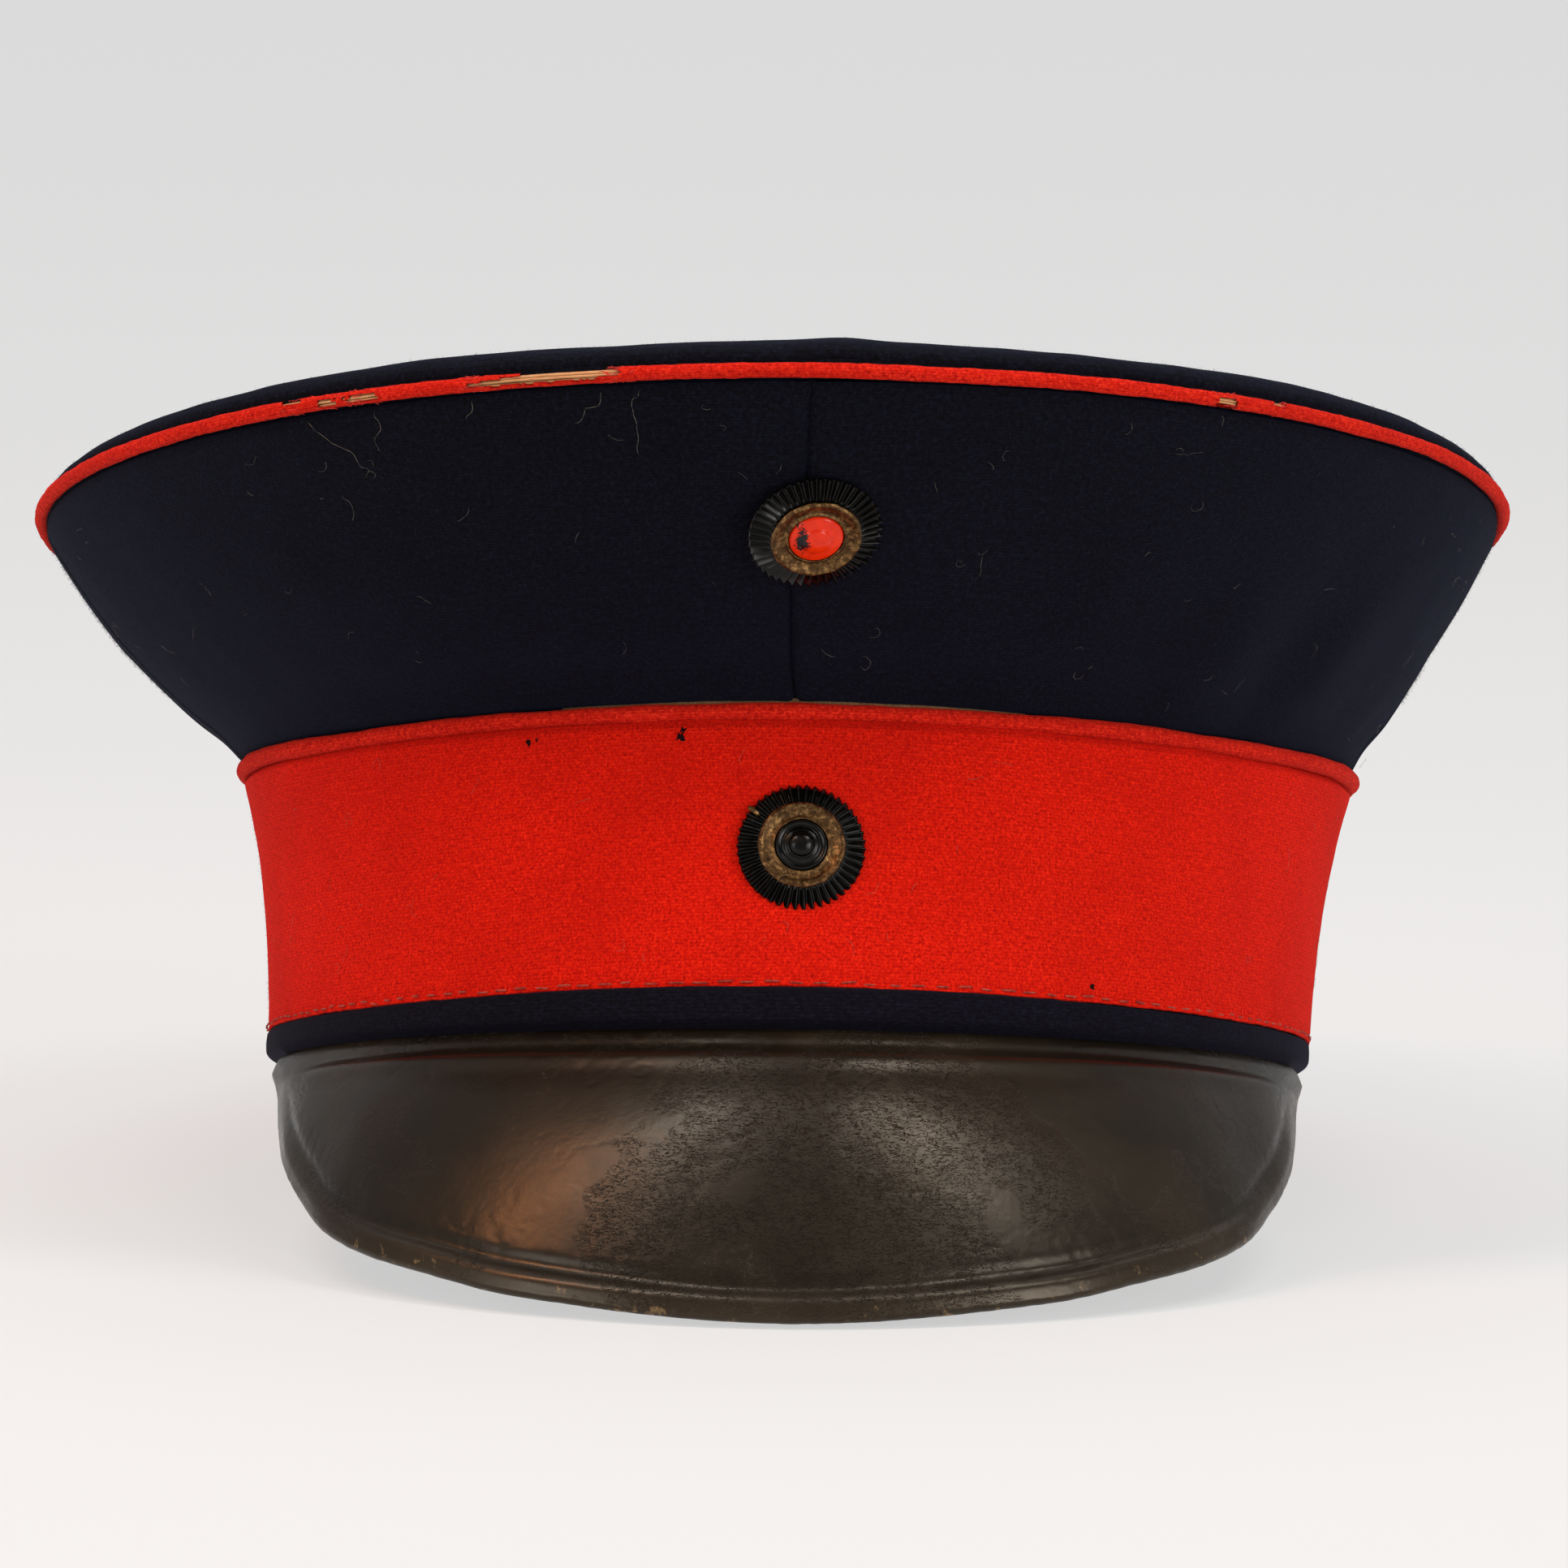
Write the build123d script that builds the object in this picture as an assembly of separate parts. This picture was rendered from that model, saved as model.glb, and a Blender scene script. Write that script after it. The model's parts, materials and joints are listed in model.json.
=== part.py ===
from build123d import *
import os
from math import sin, cos, tan, pi, radians, degrees, sqrt, atan2

# Military peaked cap with a wide flared crown, red trim band, two cockades and a steep peak.
# Everything is drawn in the head frame (origin at the middle of the head opening, +Z along
# the head, front of the cap towards -Y) and then set down on a table, where the cap rests
# on the peak's rim and on the rear of the band. Millimetres throughout.

# ---------------- driving dimensions ----------------
HEAD_A, HEAD_B = 86.0, 104.0          # outside of the band at its lower edge: half width, half length
TOP_A, TOP_B, TOP_YC = 92.9, 102.5, 8.5   # outside of the band at its upper edge, and how far back it sits
BAND_Z, BAND_PEAK = 50.3, 2.2         # height of the band, and the extra rise at the front centre
EDGE_Z, EDGE_PEAK = 4.9, 1.8          # height of the dark strip left showing under the red trim
CROWN_A, CROWN_B, CROWN_YC = 121.4, 139.6, -1.0  # line of the piping round the crown
CROWN_Z, CROWN_RISE = 90.6, 9.4       # height of the piping at the sides, and its rise at the front
PIPE_R, PIPE_BORE = 1.4, 0.97         # piping: outside radius, and the hole its cane runs in
CANE_R, CANE_OFF = 0.42, 0.50         # one cane strand, and its distance from the piping's middle
TEAR_0, TEAR_1 = -22.0, -12.3         # torn stretch of the piping cover, degrees round the crown
CLOTH = 1.4                           # heavy wool of the crown
TRIM = 1.15                           # red trim cloth
WELT_R = 1.4                          # roll at the top of the trim
PEAK_T, PEAK_LINER_T = 1.7, 0.6       # peak: top leather, and the thin leather under it
PEAK_END = 72.5                       # how far round each side the peak is sewn, degrees
SWEAT_H = 42.0                        # leather sweatband
COCKADE_LOW_Z = 29.0                  # height of the lower cockade on the band
COCKADE_UP_T = 0.545                  # the upper cockade's place up the crown's side, 0 to 1
LOWER_X, UPPER_X = 2.8, 4.2           # neither is quite in the middle
COCKADE_LOW_R, COCKADE_UP_R = 10.2, 10.6
PLEATS = 48
UPPER_TILT = 7.0                      # the upper cockade sits a little askew
SEAM = 0.12                           # half gap of a butted cloth seam
TABLE_PITCH = 11.70                   # how far the head frame tips back when the cap stands on a table
ROW_Y, ROW_Z = -7.41, 20.81             # from the middle of the head opening to the origin below the cap

# peak rim: azimuth, radius and height
RIM = [(0.0, 132.0, -47.4), (18.8, 128.9, -43.3), (29.7, 124.4, -37.4), (37.5, 118.4, -31.4),
       (43.9, 111.0, -25.5), (50.6, 103.9, -19.6), (57.6, 96.9, -13.7), (64.7, 91.6, -7.9),
       (73.4, 88.3, -3.0)]

os.makedirs("parts", exist_ok=True)
PLACE = Location((0, ROW_Y, ROW_Z), (-TABLE_PITCH, 0, 0))
made = {}


def put(name, shape, place=True):
    solids = shape.solids() if not isinstance(shape, (list, tuple)) else [s for x in shape for s in x.solids()]
    solids = [s.moved(PLACE) for s in solids] if place else solids
    out = solids[0] if len(solids) == 1 else Compound(children=list(solids))
    made[name] = out
    export_step(out, f"parts/{name}.step")
    print(f"{name:28s} solids {len(solids)}  volume {sum(s.volume for s in solids):10.1f}  valid {all(s.is_valid for s in solids)}")


# ---------------- the cap's surfaces, by azimuth from the front ----------------
def on_ellipse(phi, a, b, yc=0.0):
    s, c = sin(phi), cos(phi)
    A = s * s / a / a + c * c / b / b
    B = 2 * c * yc / b / b
    C = yc * yc / b / b - 1
    return (-B + sqrt(B * B - 4 * A * C)) / (2 * A)


def front(phi):
    return max(0.0, cos(phi)) ** 4


def z_top(phi):
    return BAND_Z + BAND_PEAK * front(phi)


def z_edge(phi):
    return EDGE_Z + EDGE_PEAK * front(phi)


def band_r(phi, z):
    """outside radius of the band at a height"""
    t = max(0.0, min(1.0, z / z_top(phi)))
    k = 1.1 + 1.1 * sin(phi) ** 2
    r0, r1 = on_ellipse(phi, HEAD_A, HEAD_B), on_ellipse(phi, TOP_A, TOP_B, TOP_YC)
    return r0 + (r1 - r0) * t ** k


def crown_line(phi):
    """piping centre (r, z)"""
    r = on_ellipse(phi, CROWN_A, CROWN_B, CROWN_YC)
    y = -r * cos(phi)
    return r, CROWN_Z - CROWN_RISE * (y - CROWN_YC) / CROWN_B


def crown_side(phi, t):
    """outside of the crown's side, t 0 at the band and 1 under the piping"""
    r0, z0 = on_ellipse(phi, TOP_A, TOP_B, TOP_YC) - 0.5, z_top(phi) + 0.2
    rp, zp = crown_line(phi)
    r1, z1 = rp - 0.5, zp - 1.85
    return r0 + (r1 - r0) * (t + 0.08 * sin(pi * t)), z0 + (z1 - z0) * t


def crown_in(phi, t, d):
    """the same, d inside that surface"""
    e = 1e-3
    ra, za = crown_side(phi, t - e)
    rb, zb = crown_side(phi, t + e)
    L = sqrt((rb - ra) ** 2 + (zb - za) ** 2)
    r, z = crown_side(phi, t)
    return r - d * (zb - za) / L, z + d * (rb - ra) / L


# ---------------- building tools ----------------
def at(phi, p):
    return Vector(p[0] * sin(phi), -p[0] * cos(phi), p[1])


def section(phi, groups):
    edges = []
    for g in groups:
        v = [at(phi, p) for p in g]
        edges.append(Edge.make_line(v[0], v[1]) if len(v) == 2 else Edge.make_spline(v))
    return Wire(edges)


def sweep_round(fn, a0, a1, n):
    """loft of the sections fn(phi) from azimuth a0 to a1, degrees"""
    w = [section(radians(a0 + (a1 - a0) * i / n), fn(radians(a0 + (a1 - a0) * i / n))) for i in range(n + 1)]
    return Solid.make_loft(w, ruled=False)


def circle_round(fn, radius, a0, a1, n):
    """tube along fn(phi) -> (r, z)"""
    w = []
    for i in range(n + 1):
        phi = radians(a0 + (a1 - a0) * i / n)
        r, z = fn(phi)
        p = [at(phi, (r + radius * cos(pi * k / 4), z + radius * sin(pi * k / 4))) for k in range(9)]
        w.append(Wire([Edge.make_three_point_arc(p[k], p[k + 1], p[k + 2]) for k in (0, 2, 4, 6)]))
    return Solid.make_loft(w, ruled=False)


def layer(phi, d0, d1, z0, z1, m=4):
    """section of a layer inside the band's wall: d0 outer, d1 inner offset"""
    zs = [z0 + (z1 - z0) * i / m for i in range(m + 1)]
    o = [(band_r(phi, z) - d0, z) for z in zs]
    i_ = [(band_r(phi, z) - d1, z) for z in reversed(zs)]
    return [o, [o[-1], i_[0]], i_, [i_[-1], o[0]]]


def crown_layer(phi, d0, d1, t0, t1, m=4):
    ts = [t0 + (t1 - t0) * i / m for i in range(m + 1)]
    o = [crown_in(phi, t, d0) for t in ts]
    i_ = [crown_in(phi, t, d1) for t in reversed(ts)]
    return [o, [o[-1], i_[0]], i_, [i_[-1], o[0]]]


REAR = 179.93

# ---------------- band ----------------
def red_section(phi):
    return layer(phi, 0.0, TRIM, z_edge(phi) + 0.05, z_top(phi) - 2 * WELT_R - 0.3)


def navy_section(phi):
    r = band_r(phi, 0)
    ze, zt = z_edge(phi), z_top(phi) - 2 * WELT_R - 0.3
    outer = [(r - 1.6, 0.0), (r - 0.45, 0.45), (r + 0.15, ze * 0.5), (r + 0.05, ze)]
    step = [outer[-1], (band_r(phi, ze) - TRIM - 0.1, ze)]
    zs = [ze + (zt - ze) * i / 4 for i in range(5)]
    up = [(band_r(phi, z) - TRIM - 0.1, z) for z in zs]
    dn = [(band_r(phi, z) - TRIM - 1.05, z) for z in reversed(zs)] + [(r - TRIM - 1.05, 0.0)]
    return [outer, step, up, [up[-1], dn[0]], dn, [dn[-1], outer[0]]]


def welt_line(phi):
    z = z_top(phi) - WELT_R - 0.05
    return on_ellipse(phi, TOP_A, TOP_B, TOP_YC) - 0.9, z


red = sweep_round(red_section, -REAR, REAR, 36)
navy = sweep_round(navy_section, -REAR, REAR, 36)
stiff = sweep_round(lambda p: layer(p, 2.35, 3.25, 0.6, z_top(p) - 2 * WELT_R - 0.3), -REAR, REAR, 36)
welt = circle_round(welt_line, WELT_R, -REAR, REAR, 36)

# ---------------- cockade fixings: frames on the band and on the crown ----------------
def frame_on(fn, x0, t, dt, tilt=0.0):
    """frame on the front of the cap, x0 to the side: z out of the cloth, x to the right; fn(phi, t) -> (r, z)"""
    phi = x0 / fn(0, t)[0]
    o = at(phi, fn(phi, t))
    up = (at(phi, fn(phi, t + dt)) - at(phi, fn(phi, t - dt))).normalized()
    side = (at(phi + 0.02, fn(phi + 0.02, t)) - at(phi - 0.02, fn(phi - 0.02, t))).normalized()
    n = side.cross(up).normalized()
    n2 = (n * cos(radians(tilt)) + up.cross(n) * sin(radians(tilt))).normalized()
    return Plane(origin=o, x_dir=up.cross(n2), z_dir=n2)


LOW = frame_on(lambda p, z: (band_r(p, z), z), LOWER_X, COCKADE_LOW_Z, 3.0)
UP = frame_on(crown_side, UPPER_X, COCKADE_UP_T, 0.05, UPPER_TILT)
PIN_R, PIN_HOLE, WASHER_HOLE = 1.0, 1.35, 1.06


def drill(plane, d0, d1, r):
    """cylinder along a cockade's pin, from depth d0 to d1 inside the cloth"""
    c = Cylinder(r, abs(d1 - d0), align=(Align.CENTER, Align.CENTER, Align.MIN))
    return plane * Pos(0, 0, -max(d0, d1)) * c


low_hole = drill(LOW, -3, 5.0, PIN_HOLE)
red = red - low_hole
navy = navy - low_hole
stiff = stiff - low_hole
put("red_trim_band", red)
put("band_cloth", navy)
put("band_stiffener", stiff)
put("trim_welt", welt)

# thread along the lower edge of the trim
put("trim_stitching", circle_round(lambda p: (band_r(p, z_edge(p) + 0.9) + 0.22, z_edge(p) + 0.9), 0.2, -REAR, REAR, 36))

# ---------------- crown: four side quarters ----------------
def quarter(a0, a1):
    w0, w1 = degrees(SEAM / 110), degrees(SEAM / 110)
    return sweep_round(lambda p: crown_layer(p, 0, CLOTH, 0.0, 1.0), a0 + w0, a1 - w1, 10)


up_hole = drill(UP, -4, 5.0, PIN_HOLE)
put("crown_front_right_quarter", quarter(0, 90) - up_hole)
put("crown_front_left_quarter", quarter(-90, 0) - up_hole)
put("crown_rear_right_quarter", quarter(90, 180))
put("crown_rear_left_quarter", quarter(-180, -90))
put("crown_interlining", sweep_round(lambda p: crown_layer(p, 1.55, 2.15, 0.03, 0.95), -REAR, REAR, 36) - up_hole)

# stay behind the front seam, which holds the crown's front up
def stay_section(phi):
    return crown_layer(phi, 6.0, 6.6, 0.17, 0.90)


w = degrees(6.0 / 116)
put("front_stay", sweep_round(stay_section, -w, w, 4))

# ---------------- crown edge: cane-cored piping, wadding, top ----------------
CROWN_PLANE = Plane(origin=(0, CROWN_YC, CROWN_Z), x_dir=(1, 0, 0),
                    z_dir=(0, sin(atan2(CROWN_RISE, CROWN_B)), cos(atan2(CROWN_RISE, CROWN_B))))
CROWN_LEN = sqrt(CROWN_B ** 2 + CROWN_RISE ** 2)
RM = sqrt(CROWN_A * CROWN_LEN)         # a round crown of about that size, then drawn out to the oval


def oval(shape):
    s = scale(shape, by=(CROWN_A / RM, CROWN_LEN / RM, 1))
    return CROWN_PLANE.location * s


def turned(face, arc=360.0, start=0.0):
    """face in the XZ plane turned about Z; start measured from the front (-Y)"""
    return revolve(Rot(0, 0, start - 90) * face, Axis.Z, arc)


def profile(points, *extra):
    return make_face(Polyline(*[(p[0], 0, p[1]) for p in points], close=True))


tube = Plane.XZ * Pos(RM, 0) * (Circle(PIPE_R) - Circle(PIPE_BORE))
tail = profile([(RM - PIPE_R - 0.05, 0.35), (RM - 8.0, 0.35), (RM - 8.0, -0.45), (RM - PIPE_R - 0.05, -0.45)])
arc = 360 - (TEAR_1 - TEAR_0)
pipe_solid = turned(tube, arc, TEAR_1)
put("crown_piping", oval(pipe_solid))
put("piping_tail", oval(turned(tail, 359.9, -179.95)))
strands = []
for k in range(3):
    a = radians(90 + 120 * k)
    c = Plane.XZ * Pos(RM + CANE_OFF * cos(a), CANE_OFF * sin(a)) * RegularPolygon(CANE_R, 8)
    strands.append(oval(turned(c, 359.9, -179.95 + 3 * k)))
put("piping_cane", strands)
put("edge_wadding", oval(turned(Plane.XZ * Pos(RM - 6.6, 2.1) * RegularPolygon(1.25, 12), 360)))

FLAT = 4.0                             # radius of the flat middle of a dome
DOME = [(-0.9, 1.55), (-1.3, 3.3), (-3.4, 5.3), (-8.5, 7.0), (-24.0, 9.2), (-55.0, 11.2), (-90.0, 12.3)]


def dome_curve(off, start=0):
    """outside of the top, off inside it, from near the piping to the middle"""
    pts = []
    raw = [(RM + d, h) for d, h in DOME[start:]] + [(FLAT, 12.75)]
    for i, (r, h) in enumerate(raw):
        a, b = raw[max(0, i - 1)], raw[min(len(raw) - 1, i + 1)]
        dr, dh = b[0] - a[0], b[1] - a[1]
        L = sqrt(dr * dr + dh * dh)
        if i == len(raw) - 1:
            dr, dh, L = -1, 0, 1
        pts.append((r + off * -abs(dh) / L, h - off * abs(dr) / L))
    return pts


def dome_face(va, vb):
    """strip between two curves that both end flat at the middle"""
    e1 = Edge.make_spline(va)
    e2 = Edge.make_spline(vb)
    ma, mb = Vector(0, 0, va[-1].Z), Vector(0, 0, vb[-1].Z)
    return Face(Wire([e1, Edge.make_line(va[-1], ma), Edge.make_line(ma, mb), Edge.make_line(mb, vb[-1]), e2,
                      Edge.make_line(vb[0], va[0])]))


def dome_shell(o0, o1, start=0):
    a, b = dome_curve(o0, start), dome_curve(o1, start)
    return oval(turned(dome_face([Vector(r, 0, h) for r, h in a], [Vector(r, 0, h) for r, h in b]), 360))


put("crown_top", dome_shell(0.0, CLOTH))
put("top_interlining", dome_shell(1.55, 2.1, 3))


def cap_shell(r0, h0, h1, thick, sag=0.0):
    """shallow dome: radius r0 at height h0, middle at height h1"""
    a = [(r0, h0), (r0 * 0.8, h0 + (h1 - h0) * 0.38), (r0 * 0.5, h0 + (h1 - h0) * 0.77), (FLAT, h1)]
    return turned(dome_face([Vector(r, 0, h) for r, h in a], [Vector(r, 0, h - thick) for r, h in a]), 360)


put("top_lining", oval(cap_shell(RM - 13.0, -3.2, 5.0, 0.5)))
diamond = extrude(make_face(Polyline((0, -62), (48, 0), (0, 62), (-48, 0), close=True)), 30, both=True)
diamond = fillet(diamond.edges().filter_by(Axis.Z), 8)
put("sweat_shield", CROWN_PLANE.location * (scale(cap_shell(RM - 13.0, -3.8, 4.2, 0.4), by=(CROWN_A / RM, CROWN_LEN / RM, 1)) & diamond))

# side lining: hangs from the crown's edge down behind the sweatband
def lining_section(phi):
    zt = z_top(phi)
    ts = [0.12, 0.35, 0.6, 0.86]
    lo = [(band_r(phi, 40) - 4.0, 40.0), (band_r(phi, zt - 4) - 4.6, zt - 4)]
    o = [crown_in(phi, t, 6.8) for t in ts]
    i_ = [crown_in(phi, t, 7.3) for t in reversed(ts)]
    lo_i = [(lo[1][0] - 0.5, lo[1][1]), (lo[0][0] - 0.5, lo[0][1])]
    return [lo, [lo[1], o[0]], o, [o[-1], i_[0]], i_, [i_[-1], lo_i[0]], lo_i, [lo_i[-1], lo[0]]]


put("side_lining", sweep_round(lining_section, -REAR, REAR, 36))

# ---------------- sweatband ----------------
put("sweatband", sweep_round(lambda p: layer(p, 5.2, 6.3, 0.5, SWEAT_H), -179.75, 179.75, 36))
put("sweatband_reed", sweep_round(lambda p: layer(p, 3.4, 5.05, 0.35, 2.8, 3), PEAK_END + 1.5, 360 - PEAK_END - 1.5, 24))
put("sweatband_stitching", circle_round(lambda p: (band_r(p, 2.2) - 6.3 - 0.22, 2.2), 0.2, -179.75, 179.75, 36))
rb = band_r(pi, 30) - 6.3
bow = []
for sx in (-1, 1):
    e = scale(Sphere(1.0), by=(6.0, 0.55, 3.2))
    bow.append(Pos(sx * 7.6, rb - 1.9, 30) * Rot(0, 0, -sx * 5.4) * Rot(0, sx * 14, 0) * e)
knot = scale(Sphere(1.0), by=(1.5, 1.2, 1.8))
bow.append(Pos(0, rb - 1.5, 30) * knot)
put("sweatband_bow", bow)

# ---------------- peak ----------------
def rim(phi):
    p = abs(degrees(phi))
    for (a0, r0, z0), (a1, r1, z1) in zip(RIM, RIM[1:]):
        if p <= a1:
            break
    # smooth through the table
    import bisect
    xs = [q[0] for q in RIM]
    k = min(max(bisect.bisect(xs, p) - 1, 0), len(xs) - 2)
    def tang(i, c):
        if i == 0:
            return 0.0
        if i == len(xs) - 1:
            return (RIM[i][c] - RIM[i - 1][c]) / (xs[i] - xs[i - 1])
        return (RIM[i + 1][c] - RIM[i - 1][c]) / (xs[i + 1] - xs[i - 1])
    h = xs[k + 1] - xs[k]
    u = (p - xs[k]) / h
    out = []
    for c in (1, 2):
        m0, m1 = tang(k, c) * h, tang(k + 1, c) * h
        out.append((2 * u ** 3 - 3 * u ** 2 + 1) * RIM[k][c] + (u ** 3 - 2 * u ** 2 + u) * m0
                   + (-2 * u ** 3 + 3 * u ** 2) * RIM[k + 1][c] + (u ** 3 - u ** 2) * m1)
    return out


def blade(phi, d, steps=(0.0, 0.12, 0.35, 0.62, 0.85, 1.0)):
    """peak's top face offset d inwards, from under the band to the rim"""
    rb, zb = band_r(phi, 0) - 0.6, -0.35
    rr, zr = rim(phi)
    dr, dz = rr - rb, zr - zb
    L = sqrt(dr * dr + dz * dz)
    nx, nz = -dz / L, dr / L          # out of the top face
    pts = []
    for s in steps:
        bulge = 0.075 * L * sin(pi * s ** 0.8)
        pts.append((rb + dr * s + nx * (bulge - d), zb + dz * s + nz * (bulge - d)))
    return pts


def peak_section(phi):
    r = band_r(phi, 0)
    top = blade(phi, 0.0)
    bot = list(reversed(blade(phi, PEAK_T)))
    rt = band_r(phi, 7.0)
    fo, fi = r - 3.5, r - 4.95
    flange_o = [(rt - 3.5, 7.0), (fo, -0.25)]
    start = [(fo, -0.25), top[0]]
    bot[-1] = (fi + 0.6, -1.5)
    end = [bot[-1], (fi, -0.6)]
    return [flange_o, start, top, [top[-1], bot[0]], bot, end, [(fi, -0.6), (rt - 4.95, 7.0)],
            [(rt - 4.95, 7.0), (rt - 3.5, 7.0)]]


def liner_section(phi):
    steps = (0.3, 0.5, 0.7, 0.9)
    top = blade(phi, PEAK_T + 0.1, steps)
    bot = list(reversed(blade(phi, PEAK_T + 0.1 + PEAK_LINER_T, steps)))
    return [top, [top[-1], bot[0]], bot, [bot[-1], top[0]]]


put("peak", sweep_round(peak_section, -PEAK_END, PEAK_END, 30))
put("peak_liner", sweep_round(liner_section, -PEAK_END + 6, PEAK_END - 6, 26))

# ---------------- cockades ----------------
def pleated(plane, radius, inner, lift):
    """cone of pressed pleats, a thin sheet that stands on the cloth at its rim"""
    n = PLEATS
    amp, th = 0.22, 0.35
    def ring(rad, h, a):
        v = []
        for k in range(2 * n):
            ang = pi * k / n
            s = a if k % 2 == 0 else -a
            v.append(Vector(rad * (1 + (0.018 if k % 2 == 0 and a == amp else 0)) * cos(ang), rad * (1 + (0.018 if k % 2 == 0 and a == amp else 0)) * sin(ang), h + s))
        return v
    to, ti = ring(radius, 0.25 + amp + th, amp), ring(inner, lift + th, amp * 0.5)
    bo = [v - Vector(0, 0, th) for v in to]
    bi = [v - Vector(0, 0, th) for v in ti]
    faces = []
    def tri(a, b, c):
        faces.append(Face(Wire.make_polygon([a, b, c], close=True)))
    for k in range(2 * n):
        j = (k + 1) % (2 * n)
        tri(to[k], to[j], ti[k]); tri(to[j], ti[j], ti[k])
        tri(bo[k], bi[k], bo[j]); tri(bo[j], bi[k], bi[j])
        tri(to[k], bo[k], to[j]); tri(bo[k], bo[j], to[j])
        tri(ti[k], ti[j], bi[k]); tri(bi[k], ti[j], bi[j])
    s = Solid(Shell(faces))
    return plane.location * s


def lathe(plane, pts):
    f = make_face(Polyline(*[(r, 0, z) for r, z in pts], close=True))
    return plane.location * revolve(f, Axis.Z, 360)


def cockade(tag, plane, radius, gap, back):
    """gap: back plate off the cloth; back: depth of the bent prongs inside the cloth"""
    base = plane.offset(gap)
    k = radius / 10.2
    ri = 6.3 * k
    put(f"{tag}_cockade_rim", pleated(base, radius, ri, 1.15))
    # ring: raised outer lip, hollow towards the boss, with a back plate
    put(f"{tag}_cockade_ring", lathe(base, [
        (1.05, 0.15), (6.1 * k, 0.15), (6.1 * k, 1.75), (6.95 * k, 1.85), (6.95 * k, 2.15), (6.5 * k, 2.45),
        (5.9 * k, 2.2), (4.9 * k, 1.75), (4.35 * k, 1.85), (4.3 * k, 1.15), (1.05, 1.15)]))
    put(f"{tag}_cockade_boss", lathe(base, [
        (0.0, 1.25), (4.15 * k, 1.25), (4.15 * k, 2.2), (3.9 * k, 2.45), (3.3 * k, 2.35), (2.7 * k, 2.25), (2.2 * k, 2.6),
        (1.6 * k, 3.1), (0.9 * k, 3.4), (0.0, 3.5)]))
    # shank and its two bent prongs
    shank = base * Pos(0, 0, -(gap + back)) * Cylinder(PIN_R, gap + back + 1.1, align=(Align.CENTER, Align.CENTER, Align.MIN))
    legs = base * Pos(0, 0, -(gap + back)) * Box(1.7, 15.0, 0.45, align=(Align.CENTER, Align.CENTER, Align.MIN))
    put(f"{tag}_cockade_prongs", shank + legs)


cockade("lower", LOW, COCKADE_LOW_R, 0.15, 4.6)
cockade("upper", UP, COCKADE_UP_R, 0.95, 4.3)


def washer(plane, d, r, t):
    return plane * Pos(0, 0, -d - t) * (Cylinder(r, t, align=(Align.CENTER, Align.CENTER, Align.MIN)) - Cylinder(WASHER_HOLE, t * 3))


put("lower_cockade_washer", washer(LOW, 3.40, 3.0, 0.5))
put("upper_cockade_washer", washer(UP, 2.75, 3.0, 0.6))

boxes = {n: m.bounding_box() for n, m in made.items()}
lo = [min(tuple(b.min)[i] for b in boxes.values()) for i in range(3)]
hi = [max(tuple(b.max)[i] for b in boxes.values()) for i in range(3)]
print("box", [round(v, 2) for v in lo], [round(v, 2) for v in hi], "middle y", round((lo[1] + hi[1]) / 2, 2))
for n in ("peak", "peak_liner", "band_cloth", "sweatband"):
    print(n, [round(v, 2) for v in boxes[n].min], [round(v, 2) for v in boxes[n].max])
for nm, pl in (("lower", LOW), ("upper", UP)):
    q = pl.location * Pos(0, 0, 0)
    a, b = (PLACE * q).position, (PLACE * q * Pos(0, 0, 10)).position
    d = (b - a).normalized()
    print(nm, "pin at", [round(v, 5) for v in a], "axis", [round(v, 6) for v in d])
print("nodes", len(made))
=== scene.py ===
import bpy, json, math
import numpy as np
from mathutils import Matrix, Vector


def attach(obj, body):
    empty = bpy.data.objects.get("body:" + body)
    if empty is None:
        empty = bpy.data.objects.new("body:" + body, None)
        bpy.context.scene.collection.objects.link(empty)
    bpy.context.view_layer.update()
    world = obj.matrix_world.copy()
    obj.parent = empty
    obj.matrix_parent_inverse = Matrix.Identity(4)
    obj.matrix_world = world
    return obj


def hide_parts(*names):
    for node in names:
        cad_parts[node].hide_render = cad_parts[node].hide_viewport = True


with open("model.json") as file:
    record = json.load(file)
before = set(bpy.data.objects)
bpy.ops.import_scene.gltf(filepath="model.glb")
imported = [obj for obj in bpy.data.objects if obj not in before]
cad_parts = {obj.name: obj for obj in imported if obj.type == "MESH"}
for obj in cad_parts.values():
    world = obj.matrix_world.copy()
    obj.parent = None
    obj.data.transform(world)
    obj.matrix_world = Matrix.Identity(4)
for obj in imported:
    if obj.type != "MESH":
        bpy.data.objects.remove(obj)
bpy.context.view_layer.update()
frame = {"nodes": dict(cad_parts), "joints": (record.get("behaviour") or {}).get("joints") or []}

Q = 1.0
PI = math.pi

# ------------------------------------------------------------------ head frame, millimetres
HEAD_A, HEAD_B = 86.0, 104.0
TOP_A, TOP_B, TOP_YC = 92.9, 102.5, 8.5
BAND_Z, BAND_PEAK, EDGE_Z, EDGE_PEAK = 50.3, 2.2, 4.9, 1.8
CROWN_A, CROWN_B, CROWN_YC, CROWN_Z, CROWN_RISE = 121.4, 139.6, -1.0, 90.6, 9.4
PITCH = math.radians(-11.70)
ROW = np.array([0.0, -7.41, 20.81])
RIM = np.array([(0.0, 132.0, -47.4), (18.8, 128.9, -43.3), (29.7, 124.4, -37.4), (37.5, 118.4, -31.4),
                (43.9, 111.0, -25.5), (50.6, 103.9, -19.6), (57.6, 96.9, -13.7), (64.7, 91.6, -7.9), (73.4, 88.3, -3.0)])
RX = np.array([[1, 0, 0], [0, math.cos(PITCH), -math.sin(PITCH)], [0, math.sin(PITCH), math.cos(PITCH)]])


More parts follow.
